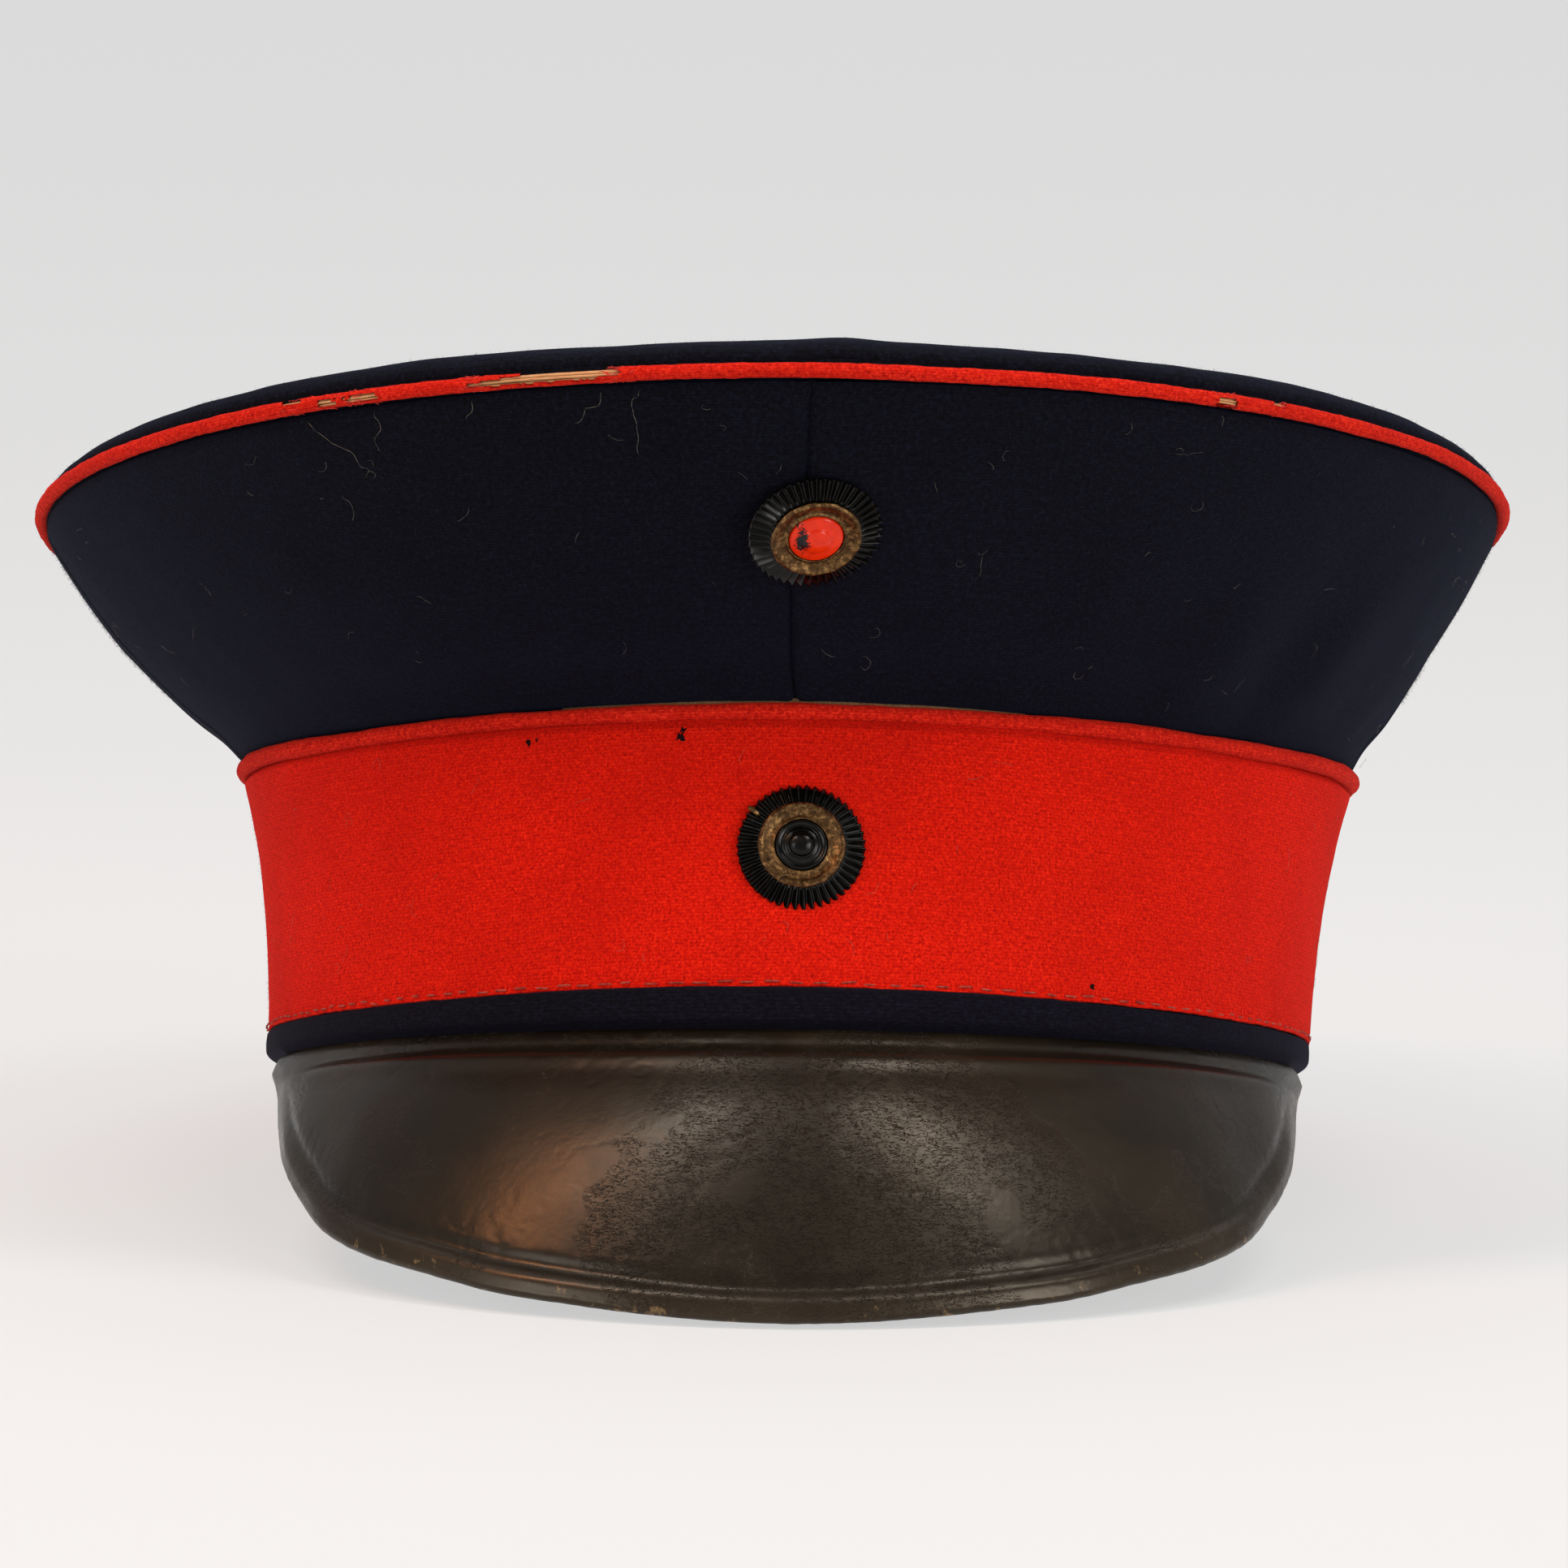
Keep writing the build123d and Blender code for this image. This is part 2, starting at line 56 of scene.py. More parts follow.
def ell(phi, a, b, yc=0.0):
    s, c = np.sin(phi), np.cos(phi)
    A = s * s / a / a + c * c / b / b
    B = 2 * c * yc / b / b
    C = yc * yc / b / b - 1
    return (-B + np.sqrt(B * B - 4 * A * C)) / (2 * A)


def front(phi):
    return np.maximum(0.0, np.cos(phi)) ** 4


def z_top(phi):
    return BAND_Z + BAND_PEAK * front(phi)


def z_edge(phi):
    return EDGE_Z + EDGE_PEAK * front(phi)


def band_r(phi, z):
    t = np.clip(z / z_top(phi), 0, 1)
    k = 1.1 + 1.1 * np.sin(phi) ** 2
    r0, r1 = ell(phi, HEAD_A, HEAD_B), ell(phi, TOP_A, TOP_B, TOP_YC)
    return r0 + (r1 - r0) * t ** k


def crown_line(phi):
    r = ell(phi, CROWN_A, CROWN_B, CROWN_YC)
    return r, CROWN_Z - CROWN_RISE * (-r * np.cos(phi) - CROWN_YC) / CROWN_B


def crown_side(phi, t):
    r0, z0 = ell(phi, TOP_A, TOP_B, TOP_YC) - 0.5, z_top(phi) + 0.2
    rp, zp = crown_line(phi)
    r1, z1 = rp - 0.5, zp - 1.85
    return r0 + (r1 - r0) * (t + 0.08 * np.sin(PI * t)), z0 + (z1 - z0) * t


def sm(x):
    x = np.clip(x, 0, 1)
    return x * x * (3 - 2 * x)


def pol(r, phi, z):
    return np.stack([r * np.sin(phi), -r * np.cos(phi), z + 0 * phi], -1)


def warp(P):
    """the cap as it has settled: the crown sits a little turned and low on one side"""
    P = np.asarray(P, float).copy()
    x, y, z = P[..., 0].copy(), P[..., 1].copy(), P[..., 2].copy()
    k = sm((z - 50) / 40)
    tau = math.radians(2.5) * k
    X = x * np.cos(tau) - y * np.sin(tau)
    Y = x * np.sin(tau) + y * np.cos(tau)
    P[..., 0] = X + np.interp(z, [-60, 0, 40, 50, 60, 70, 80, 90, 120], [1.08, 1.08, 2.0, 2.2, 0.2, -1.7, -2.2, -2.6, -2.6])
    P[..., 1] = Y
    P[..., 2] = z + X * math.tan(math.radians(0.55)) * k
    return P


def place(P, warped=True):
    P = warp(P) if warped else np.asarray(P, float)
    return (P @ RX.T + ROW) / 1000.0


# ------------------------------------------------------------------ noise
def _hash(i, j, k, seed):
    n = (i * 374761393 + j * 668265263 + k * 2147483647 + seed * 1274126177) & 0xFFFFFFFF
    n = ((n ^ (n >> 13)) * 1274126177) & 0xFFFFFFFF
    return ((n ^ (n >> 16)) & 0xFFFF) / 32767.5 - 1.0


def vn(P, scale, seed=0, octaves=1):
    """smooth value noise of points in mm, scale = size of a blob in mm"""
    out, amp = 0, 1.0
    for o in range(octaves):
        p = np.asarray(P, float) / scale * 2 ** o + 100.0
        f = np.floor(p).astype(np.int64)
        u = p - f
        u = u * u * (3 - 2 * u)
        v = 0
        for a in (0, 1):
            for b in (0, 1):
                for c in (0, 1):
                    w = (u[..., 0] if a else 1 - u[..., 0]) * (u[..., 1] if b else 1 - u[..., 1]) * (u[..., 2] if c else 1 - u[..., 2])
                    v = v + w * _hash(f[..., 0] + a, f[..., 1] + b, f[..., 2] + c, seed + 17 * o)
        out = out + amp * v
        amp *= 0.5
    return out


# ------------------------------------------------------------------ mesh building
def mesh_obj(name, V, F, mat, uv=None, body="cap", reps=(), smooth=True, slot=None):
    me = bpy.data.meshes.new(name)
    V = np.asarray(V, np.float32)
    F = np.asarray(F, np.int32)
    me.vertices.add(len(V))
    me.vertices.foreach_set("co", V.ravel())
    n, k = F.shape
    me.loops.add(n * k)
    me.loops.foreach_set("vertex_index", F.ravel())
    me.polygons.add(n)
    me.polygons.foreach_set("loop_start", np.arange(0, n * k, k, dtype=np.int32))
    me.polygons.foreach_set("loop_total", np.full(n, k, np.int32))
    me.update(calc_edges=True)
    if uv is not None:
        lay = me.uv_layers.new(name="UVMap")
        lay.data.foreach_set("uv", np.asarray(uv, np.float32).ravel())
    if smooth:
        me.polygons.foreach_set("use_smooth", np.ones(n, bool))
    me.validate()
    o = bpy.data.objects.new(name, me)
    bpy.context.scene.collection.objects.link(o)
    me.materials.append(mat)
    if reps:
        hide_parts(*reps)
    if body:
        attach(o, body)
    return o


def grid(name, P, mat, uv=None, cu=False, cv=False, keep=None, flip=False, **kw):
    """P (nu, nv, 3) metres; cu/cv closed along u/v. uv (nu+cu, nv+cv, 2)."""
    nu, nv = P.shape[:2]
    U, Vv = nu if cu else nu - 1, nv if cv else nv - 1
    i, j = np.meshgrid(np.arange(U), np.arange(Vv), indexing="ij")
    i2, j2 = (i + 1) % nu, (j + 1) % nv
    q = [(i, j), (i2, j), (i2, j2), (i, j2)]
    w = [(i, j), (i + 1, j), (i + 1, j + 1), (i, j + 1)]
    if flip:
        q, w = q[::-1], w[::-1]
    F = np.stack([(a * nv + b).ravel() for a, b in q], -1)
    U4 = None
    if uv is not None:
        U4 = np.stack([uv[np.minimum(a, uv.shape[0] - 1), np.minimum(b, uv.shape[1] - 1)].reshape(-1, 2) for a, b in w], 1)
    if keep is not None:
        m = keep[:U, :Vv].ravel()
        F = F[m]
        U4 = U4[m] if U4 is not None else None
    return mesh_obj(name, P.reshape(-1, 3), F, mat, U4, **kw)


def n_of(mm, step):
    return max(8, int(round(mm / step * Q)))


def arc_uv(P, cu, cv, unit=0.01):
    """uv in real length, unit metres per uv"""
    a = np.concatenate([P, P[:1]], 0) if cu else P
    a = np.concatenate([a, a[:, :1]], 1) if cv else a
    du = np.linalg.norm(np.diff(a, axis=0), axis=-1).mean(1)
    dv = np.linalg.norm(np.diff(a, axis=1), axis=-1).mean(0)
    u = np.concatenate([[0], np.cumsum(du)]) / unit
    v = np.concatenate([[0], np.cumsum(dv)]) / unit
    return np.stack(np.meshgrid(u, v, indexing="ij"), -1)


# ------------------------------------------------------------------ materials
class M:
    def __init__(self, name):
        self.m = bpy.data.materials.new(name)
        self.m.use_nodes = True
        self.t = self.m.node_tree
        self.b = self.t.nodes["Principled BSDF"]

    def n(self, kind, **kw):
        nd = self.t.nodes.new(kind)
        for k, v in kw.items():
            if hasattr(nd, k) and not k.startswith("i_"):
                setattr(nd, k, v)
            else:
                nd.inputs[k[2:] if k.startswith("i_") else k].default_value = v
        return nd

    def l(self, a, b):
        self.t.links.new(a, b)

    def uv(self, sx=1, sy=1, src="UV"):
        tc = self.n("ShaderNodeTexCoord")
        mp = self.n("ShaderNodeMapping")
        mp.inputs["Scale"].default_value = (sx, sy, 1) if src == "UV" else (sx, sy, sx)
        self.l(tc.outputs[src], mp.inputs["Vector"])
        return mp.outputs["Vector"]

    def noise(self, vec, scale, detail=4, rough=0.55, dist=0.0):
        nd = self.n("ShaderNodeTexNoise")
        nd.inputs["Scale"].default_value = scale
        nd.inputs["Detail"].default_value = detail
        nd.inputs["Roughness"].default_value = rough
        nd.inputs["Distortion"].default_value = dist
        self.l(vec, nd.inputs["Vector"])
        return nd.outputs["Fac"]

    def ramp(self, fac, stops):
        r = self.n("ShaderNodeValToRGB")
        el = r.color_ramp.elements
        while len(el) < len(stops):
            el.new(0.5)
        for e, (p, c) in zip(el, stops):
            e.position = p
            e.color = (*c, 1) if len(c) == 3 else c
        self.l(fac, r.inputs["Fac"])
        return r.outputs["Color"]

    def mix(self, fac, a, b, mode="MIX"):
        nd = self.n("ShaderNodeMix")
        nd.data_type = "RGBA"
        nd.blend_type = mode
        for s, v in ((nd.inputs[0], fac), (nd.inputs[6], a), (nd.inputs[7], b)):
            if isinstance(v, (int, float)):
                s.default_value = v
            elif isinstance(v, tuple):
                s.default_value = (*v, 1) if len(v) == 3 else v
            else:
                self.l(v, s)
        return nd.outputs[2]

    def math(self, op, a, b=0.0, c=0.0):
        nd = self.n("ShaderNodeMath")
        nd.operation = op
        for s, v in zip(nd.inputs, (a, b, c)):
            if isinstance(v, (int, float)):
                s.default_value = v
            else:
                self.l(v, s)
        return nd.outputs[0]

    def bump(self, h, dist, strength=1.0, under=None):
        nd = self.n("ShaderNodeBump")
        nd.inputs["Strength"].default_value = strength
        nd.inputs["Distance"].default_value = dist
        self.l(h, nd.inputs["Height"])
        if under is not None:
            self.l(under, nd.inputs["Normal"])
        return nd.outputs["Normal"]


def setp(m, **kw):
    for k, v in kw.items():
        m.b.inputs[k.replace("_", " ")].default_value = v


def wool(name, cols, along=7, across=20, sheen=0.1, tint=(1, 1, 1), depth=0.0003, blotch=2.2, mottle=0.5, rowpitch=18.5):
    """felted wool: uv is in centimetres; along, across = blobs per cm"""
    m = M(name)
    g = m.noise(m.uv(along / 10, across / 10), 10.0, 2, 0.55, 0.4)
    f = m.noise(m.uv(1.0, 1.0), 12.0, 5, 0.75, 0.9)
    fine = m.noise(m.uv(2.2, 6.0), 14.0, 3, 0.7, 0.3)
    b = m.noise(m.uv(1, 1), 1 / blotch, 3, 0.6)
    sp = m.n("ShaderNodeSeparateXYZ")
    m.l(m.uv(1.0, 1.0), sp.inputs[0])
    rows = m.math("SINE", m.math("ADD", m.math("MULTIPLY", sp.outputs["Y"], 2 * PI * rowpitch), m.math("MULTIPLY", f, 7.0)))
    h = m.math("ADD", m.math("MULTIPLY", g, 0.42), m.math("ADD", m.math("MULTIPLY", f, 0.33), m.math("MULTIPLY", fine, 0.25)))
    h = m.math("ADD", h, m.math("MULTIPLY", rows, 0.022))
    c = m.ramp(h, [(0.38, cols[0]), (0.5, cols[1]), (0.62, cols[2])])
    dark = m.math("MULTIPLY", m.math("MAXIMUM", m.math("SUBTRACT", b, 0.42), 0.0), mottle * 2)
    c = m.mix(dark, c, cols[0])
    m.l(c, m.b.inputs["Base Color"])
    setp(m, Roughness=0.95, Sheen_Weight=sheen, Sheen_Roughness=0.4, Sheen_Tint=(*tint, 1), Specular_IOR_Level=0.08)
    m.l(m.bump(h, depth, 0.9), m.b.inputs["Normal"])
    return m.m


RED = wool("red_wool", [(0.34, 0.003, 0.001), (0.62, 0.0075, 0.0015), (0.88, 0.022, 0.005)], 24, 19, 0.03, (1.0, 0.25, 0.15), 0.00035)
REDP = wool("red_piping", [(0.30, 0.003, 0.0015), (0.56, 0.011, 0.004), (0.80, 0.035, 0.012)], 16, 16, 0.04, (1.0, 0.3, 0.2), 0.00035)
NAVY = wool("navy_wool", [(0.0009, 0.0009, 0.0016), (0.0023, 0.0023, 0.0046), (0.0062, 0.0068, 0.0150)], 16, 14, 0.045, (0.25, 0.40, 1.0), 0.00045)
NAVYE = wool("navy_edge", [(0.0022, 0.0018, 0.0032), (0.0042, 0.0035, 0.0068), (0.0085, 0.0080, 0.0160)], 10, 22, 0.03, (0.5, 0.45, 1.0), 0.0003)
# buckram for the inner layers, dark navy so that where it shows in the gap above the trim's roll it reads as painted
# shade; real caps also used black buckram
BUCK_DARK_AS_SHADE = wool("buckram", [(0.006, 0.006, 0.010), (0.010, 0.010, 0.015), (0.018, 0.018, 0.025)], 12, 12, 0.0, (1, 1, 1), 0.0001)


def plain(name, col, rough=0.5, metal=0.0, **kw):
    m = M(name)
    m.b.inputs["Base Color"].default_value = (*col, 1)
    setp(m, Roughness=rough, Metallic=metal, **kw)
    return m


def cane_mat():
    m = M("split_cane")
    v = m.uv(1.0, 30)
    c = m.ramp(m.noise(v, 4.0, 4, 0.6), [(0.3, (0.28, 0.09, 0.025)), (0.5, (0.58, 0.26, 0.09)), (0.7, (0.80, 0.50, 0.24))])
    m.l(c, m.b.inputs["Base Color"])
    setp(m, Roughness=0.45)
    m.l(m.bump(m.noise(v, 8.0, 3), 0.0001, 0.6), m.b.inputs["Normal"])
    return m.m


def thread_mat(name, a, b):
    m = M(name)
    tc = m.n("ShaderNodeTexCoord")
    c = m.ramp(m.noise(tc.outputs["Object"], 900.0, 2), [(0.35, a), (0.65, b)])
    m.l(c, m.b.inputs["Base Color"])
    setp(m, Roughness=0.85)
    return m.m


def leather_black():
    m = M("aged_black_leather")
    tc = m.n("ShaderNodeTexCoord")
    ob = tc.outputs["Object"]
    big = m.noise(ob, 22.0, 4, 0.6, 0.4)
    fine = m.noise(ob, 900.0, 4, 0.6)
    wear = m.noise(ob, 260.0, 5, 0.75, 0.5)
    # crackle: one size of cells, warped a little by noise, shown where the leather has dried
    vo = m.n("ShaderNodeTexVoronoi")
    vo.feature = "DISTANCE_TO_EDGE"
    vo.inputs["Scale"].default_value = 430.0
    warpv = m.mix(0.006, ob, m.n("ShaderNodeTexNoise", i_Scale=120.0).outputs["Color"], "ADD")
    m.l(warpv, vo.inputs["Vector"])
    crack = m.ramp(vo.outputs["Distance"], [(0.0, (0, 0, 0)), (0.05, (1, 1, 1))])
    where = m.ramp(m.noise(ob, 30.0, 3, 0.6), [(0.47, (1, 1, 1)), (0.56, (0, 0, 0))])
    crack = m.mix(where, crack, (1, 1, 1))
    base = m.ramp(big, [(0.3, (0.0055, 0.0037, 0.0021)), (0.55, (0.0095, 0.0066, 0.0038)), (0.75, (0.021, 0.0145, 0.0080))])
    # rubbed rim: driven by the painted wear mask in uv.y (1 at the rim)
    sep = m.n("ShaderNodeSeparateXYZ")
    m.l(tc.outputs["UV"], sep.inputs[0])
    rim = m.ramp(sep.outputs["Y"], [(0.962, (0, 0, 0)), (0.995, (1, 1, 1))])
    spots = m.ramp(wear, [(0.60, (0, 0, 0)), (0.70, (1, 1, 1))])
    fac = m.mix(1.0, rim, spots, "MULTIPLY")
    base = m.mix(fac, base, (0.32, 0.20, 0.09))
    # the last tenth of the top face towards the rim, and the rounded rim, are mixed a little towards a lighter brown
    fac2 = m.math("MULTIPLY", m.ramp(sep.outputs["Y"], [(0.90, (0, 0, 0)), (1.0, (1, 1, 1))]), 0.35)
    base = m.mix(fac2, base, (0.045, 0.030, 0.017))
    m.l(base, m.b.inputs["Base Color"])
    r = m.ramp(m.noise(ob, 55.0, 4, 0.65, 0.3), [(0.3, (0.24, 0.24, 0.24)), (0.7, (0.38, 0.38, 0.38))])
    m.l(r, m.b.inputs["Roughness"])
    setp(m, Specular_IOR_Level=0.34, Coat_Weight=0.0)
    m.b.inputs["Specular Tint"].default_value = (1.0, 0.86, 0.70, 1)
    n1 = m.bump(fine, 0.00006, 0.5)
    n2 = m.bump(crack, 0.00022, 0.8, n1)
    n3 = m.bump(m.noise(ob, 90.0, 4, 0.55, 0.6), 0.00022, 0.3, n2)
    m.l(n3, m.b.inputs["Normal"])
    return m.m


def leather(name, cols, rough=0.5, scale=700.0):
    m = M(name)
    tc = m.n("ShaderNodeTexCoord")
    ob = tc.outputs["Object"]
    c = m.ramp(m.noise(ob, 30.0, 5, 0.65, 0.5), [(0.3, cols[0]), (0.5, cols[1]), (0.72, cols[2])])
    m.l(c, m.b.inputs["Base Color"])
    setp(m, Roughness=rough)
    vo = m.n("ShaderNodeTexVoronoi")
    vo.inputs["Scale"].default_value = scale
    m.l(ob, vo.inputs["Vector"])
    m.l(m.bump(vo.outputs["Distance"], 0.00015, 0.5), m.b.inputs["Normal"])
    return m.m


def metal_mat(name, cols, rough=(0.25, 0.5), metallic=1.0, scale=500.0, depth=0.00008):
    m = M(name)
    tc = m.n("ShaderNodeTexCoord")
    ob = tc.outputs["Object"]
    nz = m.noise(ob, scale, 5, 0.7, 0.4)
    c = m.ramp(nz, [(0.3, cols[0]), (0.5, cols[1]), (0.7, cols[2])])
    m.l(c, m.b.inputs["Base Color"])
    r = m.ramp(m.noise(ob, scale * 0.7, 4, 0.6), [(0.3, (rough[0],) * 3), (0.7, (rough[1],) * 3)])
    m.l(r, m.b.inputs["Roughness"])
    setp(m, Metallic=metallic)
    m.l(m.bump(nz, depth, 0.6), m.b.inputs["Normal"])
    return m.m


def enamel_mat():
    m = M("red_enamel")
    tc = m.n("ShaderNodeTexCoord")
    mp = m.n("ShaderNodeMapping")
    m.l(tc.outputs["UV"], mp.inputs["Vector"])
    sep = m.n("ShaderNodeSeparateXYZ")
    m.l(mp.outputs["Vector"], sep.inputs[0])
    # chip on the left of the boss: an irregular patch in the boss's own x, y (uv -1..1)
    nz = m.noise(mp.outputs["Vector"], 5.0, 4, 0.7, 1.2)
    dx = m.math("MULTIPLY", m.math("ADD", sep.outputs["X"], 0.56), 3.2)
    dy = m.math("MULTIPLY", m.math("ADD", sep.outputs["Y"], 0.02), 1.25)
    d = m.math("SQRT", m.math("ADD", m.math("MULTIPLY", dx, dx), m.math("MULTIPLY", dy, dy)))
    d = m.math("ADD", d, m.math("MULTIPLY", m.math("SUBTRACT", nz, 0.5), 2.6))
    chip = m.ramp(d, [(0.62, (1, 1, 1)), (0.68, (0, 0, 0))])
    red = m.ramp(m.noise(mp.outputs["Vector"], 2.0, 3), [(0.3, (0.62, 0.016, 0.001)), (0.7, (0.80, 0.030, 0.002))])
    m.l(m.mix(chip, red, (0.006, 0.005, 0.006)), m.b.inputs["Base Color"])
    setp(m, Roughness=0.25, Coat_Weight=0.10, Coat_Roughness=0.1, Specular_IOR_Level=0.22)
    m.l(m.bump(m.mix(1.0, (1, 1, 1), chip, "SUBTRACT"), 0.00012, 0.8), m.b.inputs["Normal"])
    return m.m


LEATHER = leather_black()
TAN = leather("sweat_leather", [(0.09, 0.04, 0.018), (0.20, 0.10, 0.045), (0.32, 0.18, 0.09)], 0.48)
LINERL = leather("peak_under", [(0.012, 0.018, 0.010), (0.03, 0.04, 0.022), (0.06, 0.075, 0.045)], 0.62)
CANE = cane_mat()
PINK = thread_mat("red_thread", (0.20, 0.012, 0.006), (0.44, 0.06, 0.035))
LINT = thread_mat("lint", (0.03, 0.026, 0.02), (0.22, 0.19, 0.15))
FUZZN = thread_mat("navy_fuzz", (0.0015, 0.0018, 0.004), (0.007, 0.009, 0.020))
FUZZR = thread_mat("red_fuzz", (0.35, 0.006, 0.003), (0.72, 0.03, 0.012))
BTHREAD = thread_mat("brown_thread", (0.2, 0.12, 0.06), (0.4, 0.28, 0.16))
JAPAN = metal_mat("black_japan", [(0.0010, 0.0009, 0.0008), (0.002, 0.0017, 0.0014), (0.007, 0.005, 0.003)], (0.16, 0.26), 0.0, 700, 0.00003)
JAPAN.node_tree.nodes["Principled BSDF"].inputs["Specular IOR Level"].default_value = 0.20
BRONZE = metal_mat("tarnished_bronze", [(0.022, 0.009, 0.002), (0.085, 0.040, 0.011), (0.36, 0.20, 0.07)], (0.26, 0.42), 0.8, 1100, 0.00022)
BRASS = metal_mat("dull_brass", [(0.12, 0.08, 0.03), (0.30, 0.21, 0.09), (0.45, 0.33, 0.16)], (0.3, 0.5), 1.0, 500)
ENAMEL = enamel_mat()
LINING = wool("lining_sateen", [(0.10, 0.05, 0.022), (0.17, 0.09, 0.04), (0.24, 0.14, 0.07)], 30, 12, 0.1, (1, 0.9, 0.7), 0.00012)
RIBBON = wool("ribbon", [(0.006, 0.006, 0.006), (0.012, 0.012, 0.012), (0.03, 0.03, 0.03)], 8, 60, 0.1, (1, 1, 1), 0.0001)
WAD = wool("wadding", [(0.4, 0.36, 0.3), (0.6, 0.56, 0.5), (0.7, 0.68, 0.62)], 10, 10, 0.0, (1, 1, 1), 0.0002)
SHIELD = plain("sweat_shield", (0.75, 0.6, 0.34), 0.15, 0.0, Alpha=0.45).m
STEEL = plain("stay_steel", (0.35, 0.34, 0.33), 0.35, 1.0).m

def puff(phi):
    """the top's edge is puffed at the front and flatter round the back"""
    return 0.52 + 0.48 * sm((np.cos(phi) + 0.25) / 1.1)


def settled(name, node, mat, squeeze=0.0, drop=0.0, low=0.0):
    """a layer inside the cloth, redrawn in the settled shape of the cap; squeeze in mm pulls it inwards"""
    src = frame["nodes"][node]
    me = src.data
    V = np.empty(len(me.vertices) * 3, np.float32)
    me.vertices.foreach_get("co", V)
    V = V.reshape(-1, 3).astype(float)
    mw = np.array(src.matrix_world)
    V = V @ mw[:3, :3].T + mw[:3, 3]
    H_ = (V * 1000.0 - ROW) @ RX                       # back to the head frame
    rad_ = np.hypot(H_[:, 0], H_[:, 1])
    H_[:, 0] *= 1 - squeeze / np.maximum(rad_, 30)
    H_[:, 1] *= 1 - squeeze / np.maximum(rad_, 30)
    H_[:, 2] -= low + drop * (1 - puff(np.arctan2(H_[:, 0], -H_[:, 1]))) / 0.48
    me.calc_loop_triangles()
    F = np.empty(len(me.loop_triangles) * 3, np.int32)
    me.loop_triangles.foreach_get("vertices", F)
    return mesh_obj(name, place(H_), F.reshape(-1, 3), mat, None, smooth=False, reps=(node,))


settled("stiffener_ring", "band_stiffener", BUCK_DARK_AS_SHADE, 0.8)
# the crown's buckram, dark navy as well, so that where it shows in the gap above the trim's roll it reads as painted
# shade; real caps also used black buckram
CROWN_BUCKRAM_DARK_AS_SHADE = wool("dark_buckram_as_shade", [(0.004, 0.005, 0.009), (0.008, 0.009, 0.014), (0.014, 0.015, 0.022)], 12, 12, 0.0, (1, 1, 1), 0.0001)
settled("crown_buckram", "crown_interlining", CROWN_BUCKRAM_DARK_AS_SHADE, 3.2)
settled("top_buckram", "top_interlining", BUCK_DARK_AS_SHADE, 0.0, 3.4, 0.6)
settled("edge_wadding_roll", "edge_wadding", WAD, 0.8, 1.9, 0.2)
settled("front_stay_strip", "front_stay", STEEL)
settled("reed_strip", "sweatband_reed", CANE)
settled("piping_tail_cloth", "piping_tail", REDP, 0.4)
settled("celluloid_shield", "sweat_shield", SHIELD)
for nme in ("lower_cockade_prongs", "upper_cockade_prongs", "lower_cockade_washer", "upper_cockade_washer"):
    o = frame["nodes"][nme]
    o.data.materials.clear()
    o.data.materials.append(BRASS)

TWO = 2 * PI


def ring_phi(n):
    return -PI + TWO * np.arange(n) / n


def round_loop(outer, thick_in, edge=0.35, m=5):
    """nothing"""
    return None


# ------------------------------------------------------------------ red trim band
nu = n_of(620, 0.8)
phi = ring_phi(nu)
zs_n = n_of(44, 0.5)
ze, zt = z_edge(phi), z_top(phi) - 3.0
ragged = 0.10 * vn(pol(100 + 0 * phi, phi, 0), 1.3, 5) + 0.12 * vn(pol(100 + 0 * phi, phi, 0), 5.0, 6)
ze_r = ze + ragged
t = np.linspace(0, 1, zs_n)
Z = ze_r[:, None] + 0.3 + (zt[:, None] - ze_r[:, None] + 0.9) * t[None, :]
PH = phi[:, None] + 0 * Z
R = band_r(PH, Z) + 0.35
P0 = pol(R, PH, Z)
R = R + 0.35 * vn(P0, 34.0, 1, 2) + 0.05 * vn(P0, 3.0, 2)
# dimple line of the running stitch, tuck under the roll
R -= 0.22 * np.exp(-((Z - ze_r[:, None] - 1.0) / 0.35) ** 2)
R -= 1.5 * sm((Z - zt[:, None] + 0.9) / 1.5)
out = pol(R, PH, Z)
ang = np.linspace(-PI / 2, PI / 2, 6)[1:-1]
bot = [pol(R[:, 0] - 0.42 + 0.42 * math.cos(a), phi, ze_r + 0.3 + 0.42 * math.sin(a) - 0.0)[:, None] for a in ang[:2]]
inner = [pol(R[:, 0] - 0.95, phi, ze_r + 0.05)[:, None], pol(R[:, 0] - 1.0, phi, ze_r + 2.0)[:, None], pol(R[:, -1] - 0.9, phi, zt)[:, None]]
P = place(np.concatenate(bot + [out] + inner[::-1], 1))
P = np.concatenate(bot + [out, inner[2], inner[1], inner[0]], 1)
P = place(P)
grid("red_trim", P, RED, arc_uv(P, True, True), True, True, body="cap", reps=("red_trim_band",))

# ------------------------------------------------------------------ dark band cloth, showing as a strip below the trim
m_ = n_of(10, 0.35)
ze2 = z_edge(phi) + 2.5
r0 = band_r(phi, 0 * phi)
prof = []
for s in np.linspace(0, 1, m_):           # rounded lower fold then up behind the trim
    z = -0.15 + (ze2 + 0.15) * s
    fold = 1.9 * np.clip(1 - (z + 0.15) / 1.9, 0, 1) ** 2
    bulge = 0.25 * np.sin(PI * np.clip(z / (z_edge(phi) + 0.4), 0, 1))
    hide = 2.0 * sm((z - z_edge(phi) + 0.35) / 0.9)
    prof.append(pol(r0 + 0.25 + bulge - fold - hide + 0 * phi, phi, np.maximum(z, -0.15)))
prof = np.stack(prof, 1)
prof[..., 2] += 0.12 * vn(prof, 26, 9)[...]
nrm = prof.copy()
rr = 0.14 * vn(prof, 14.0, 8, 2) + 0.03 * vn(prof, 1.6, 4)
prof[..., 0] += rr * np.sin(phi)[:, None]
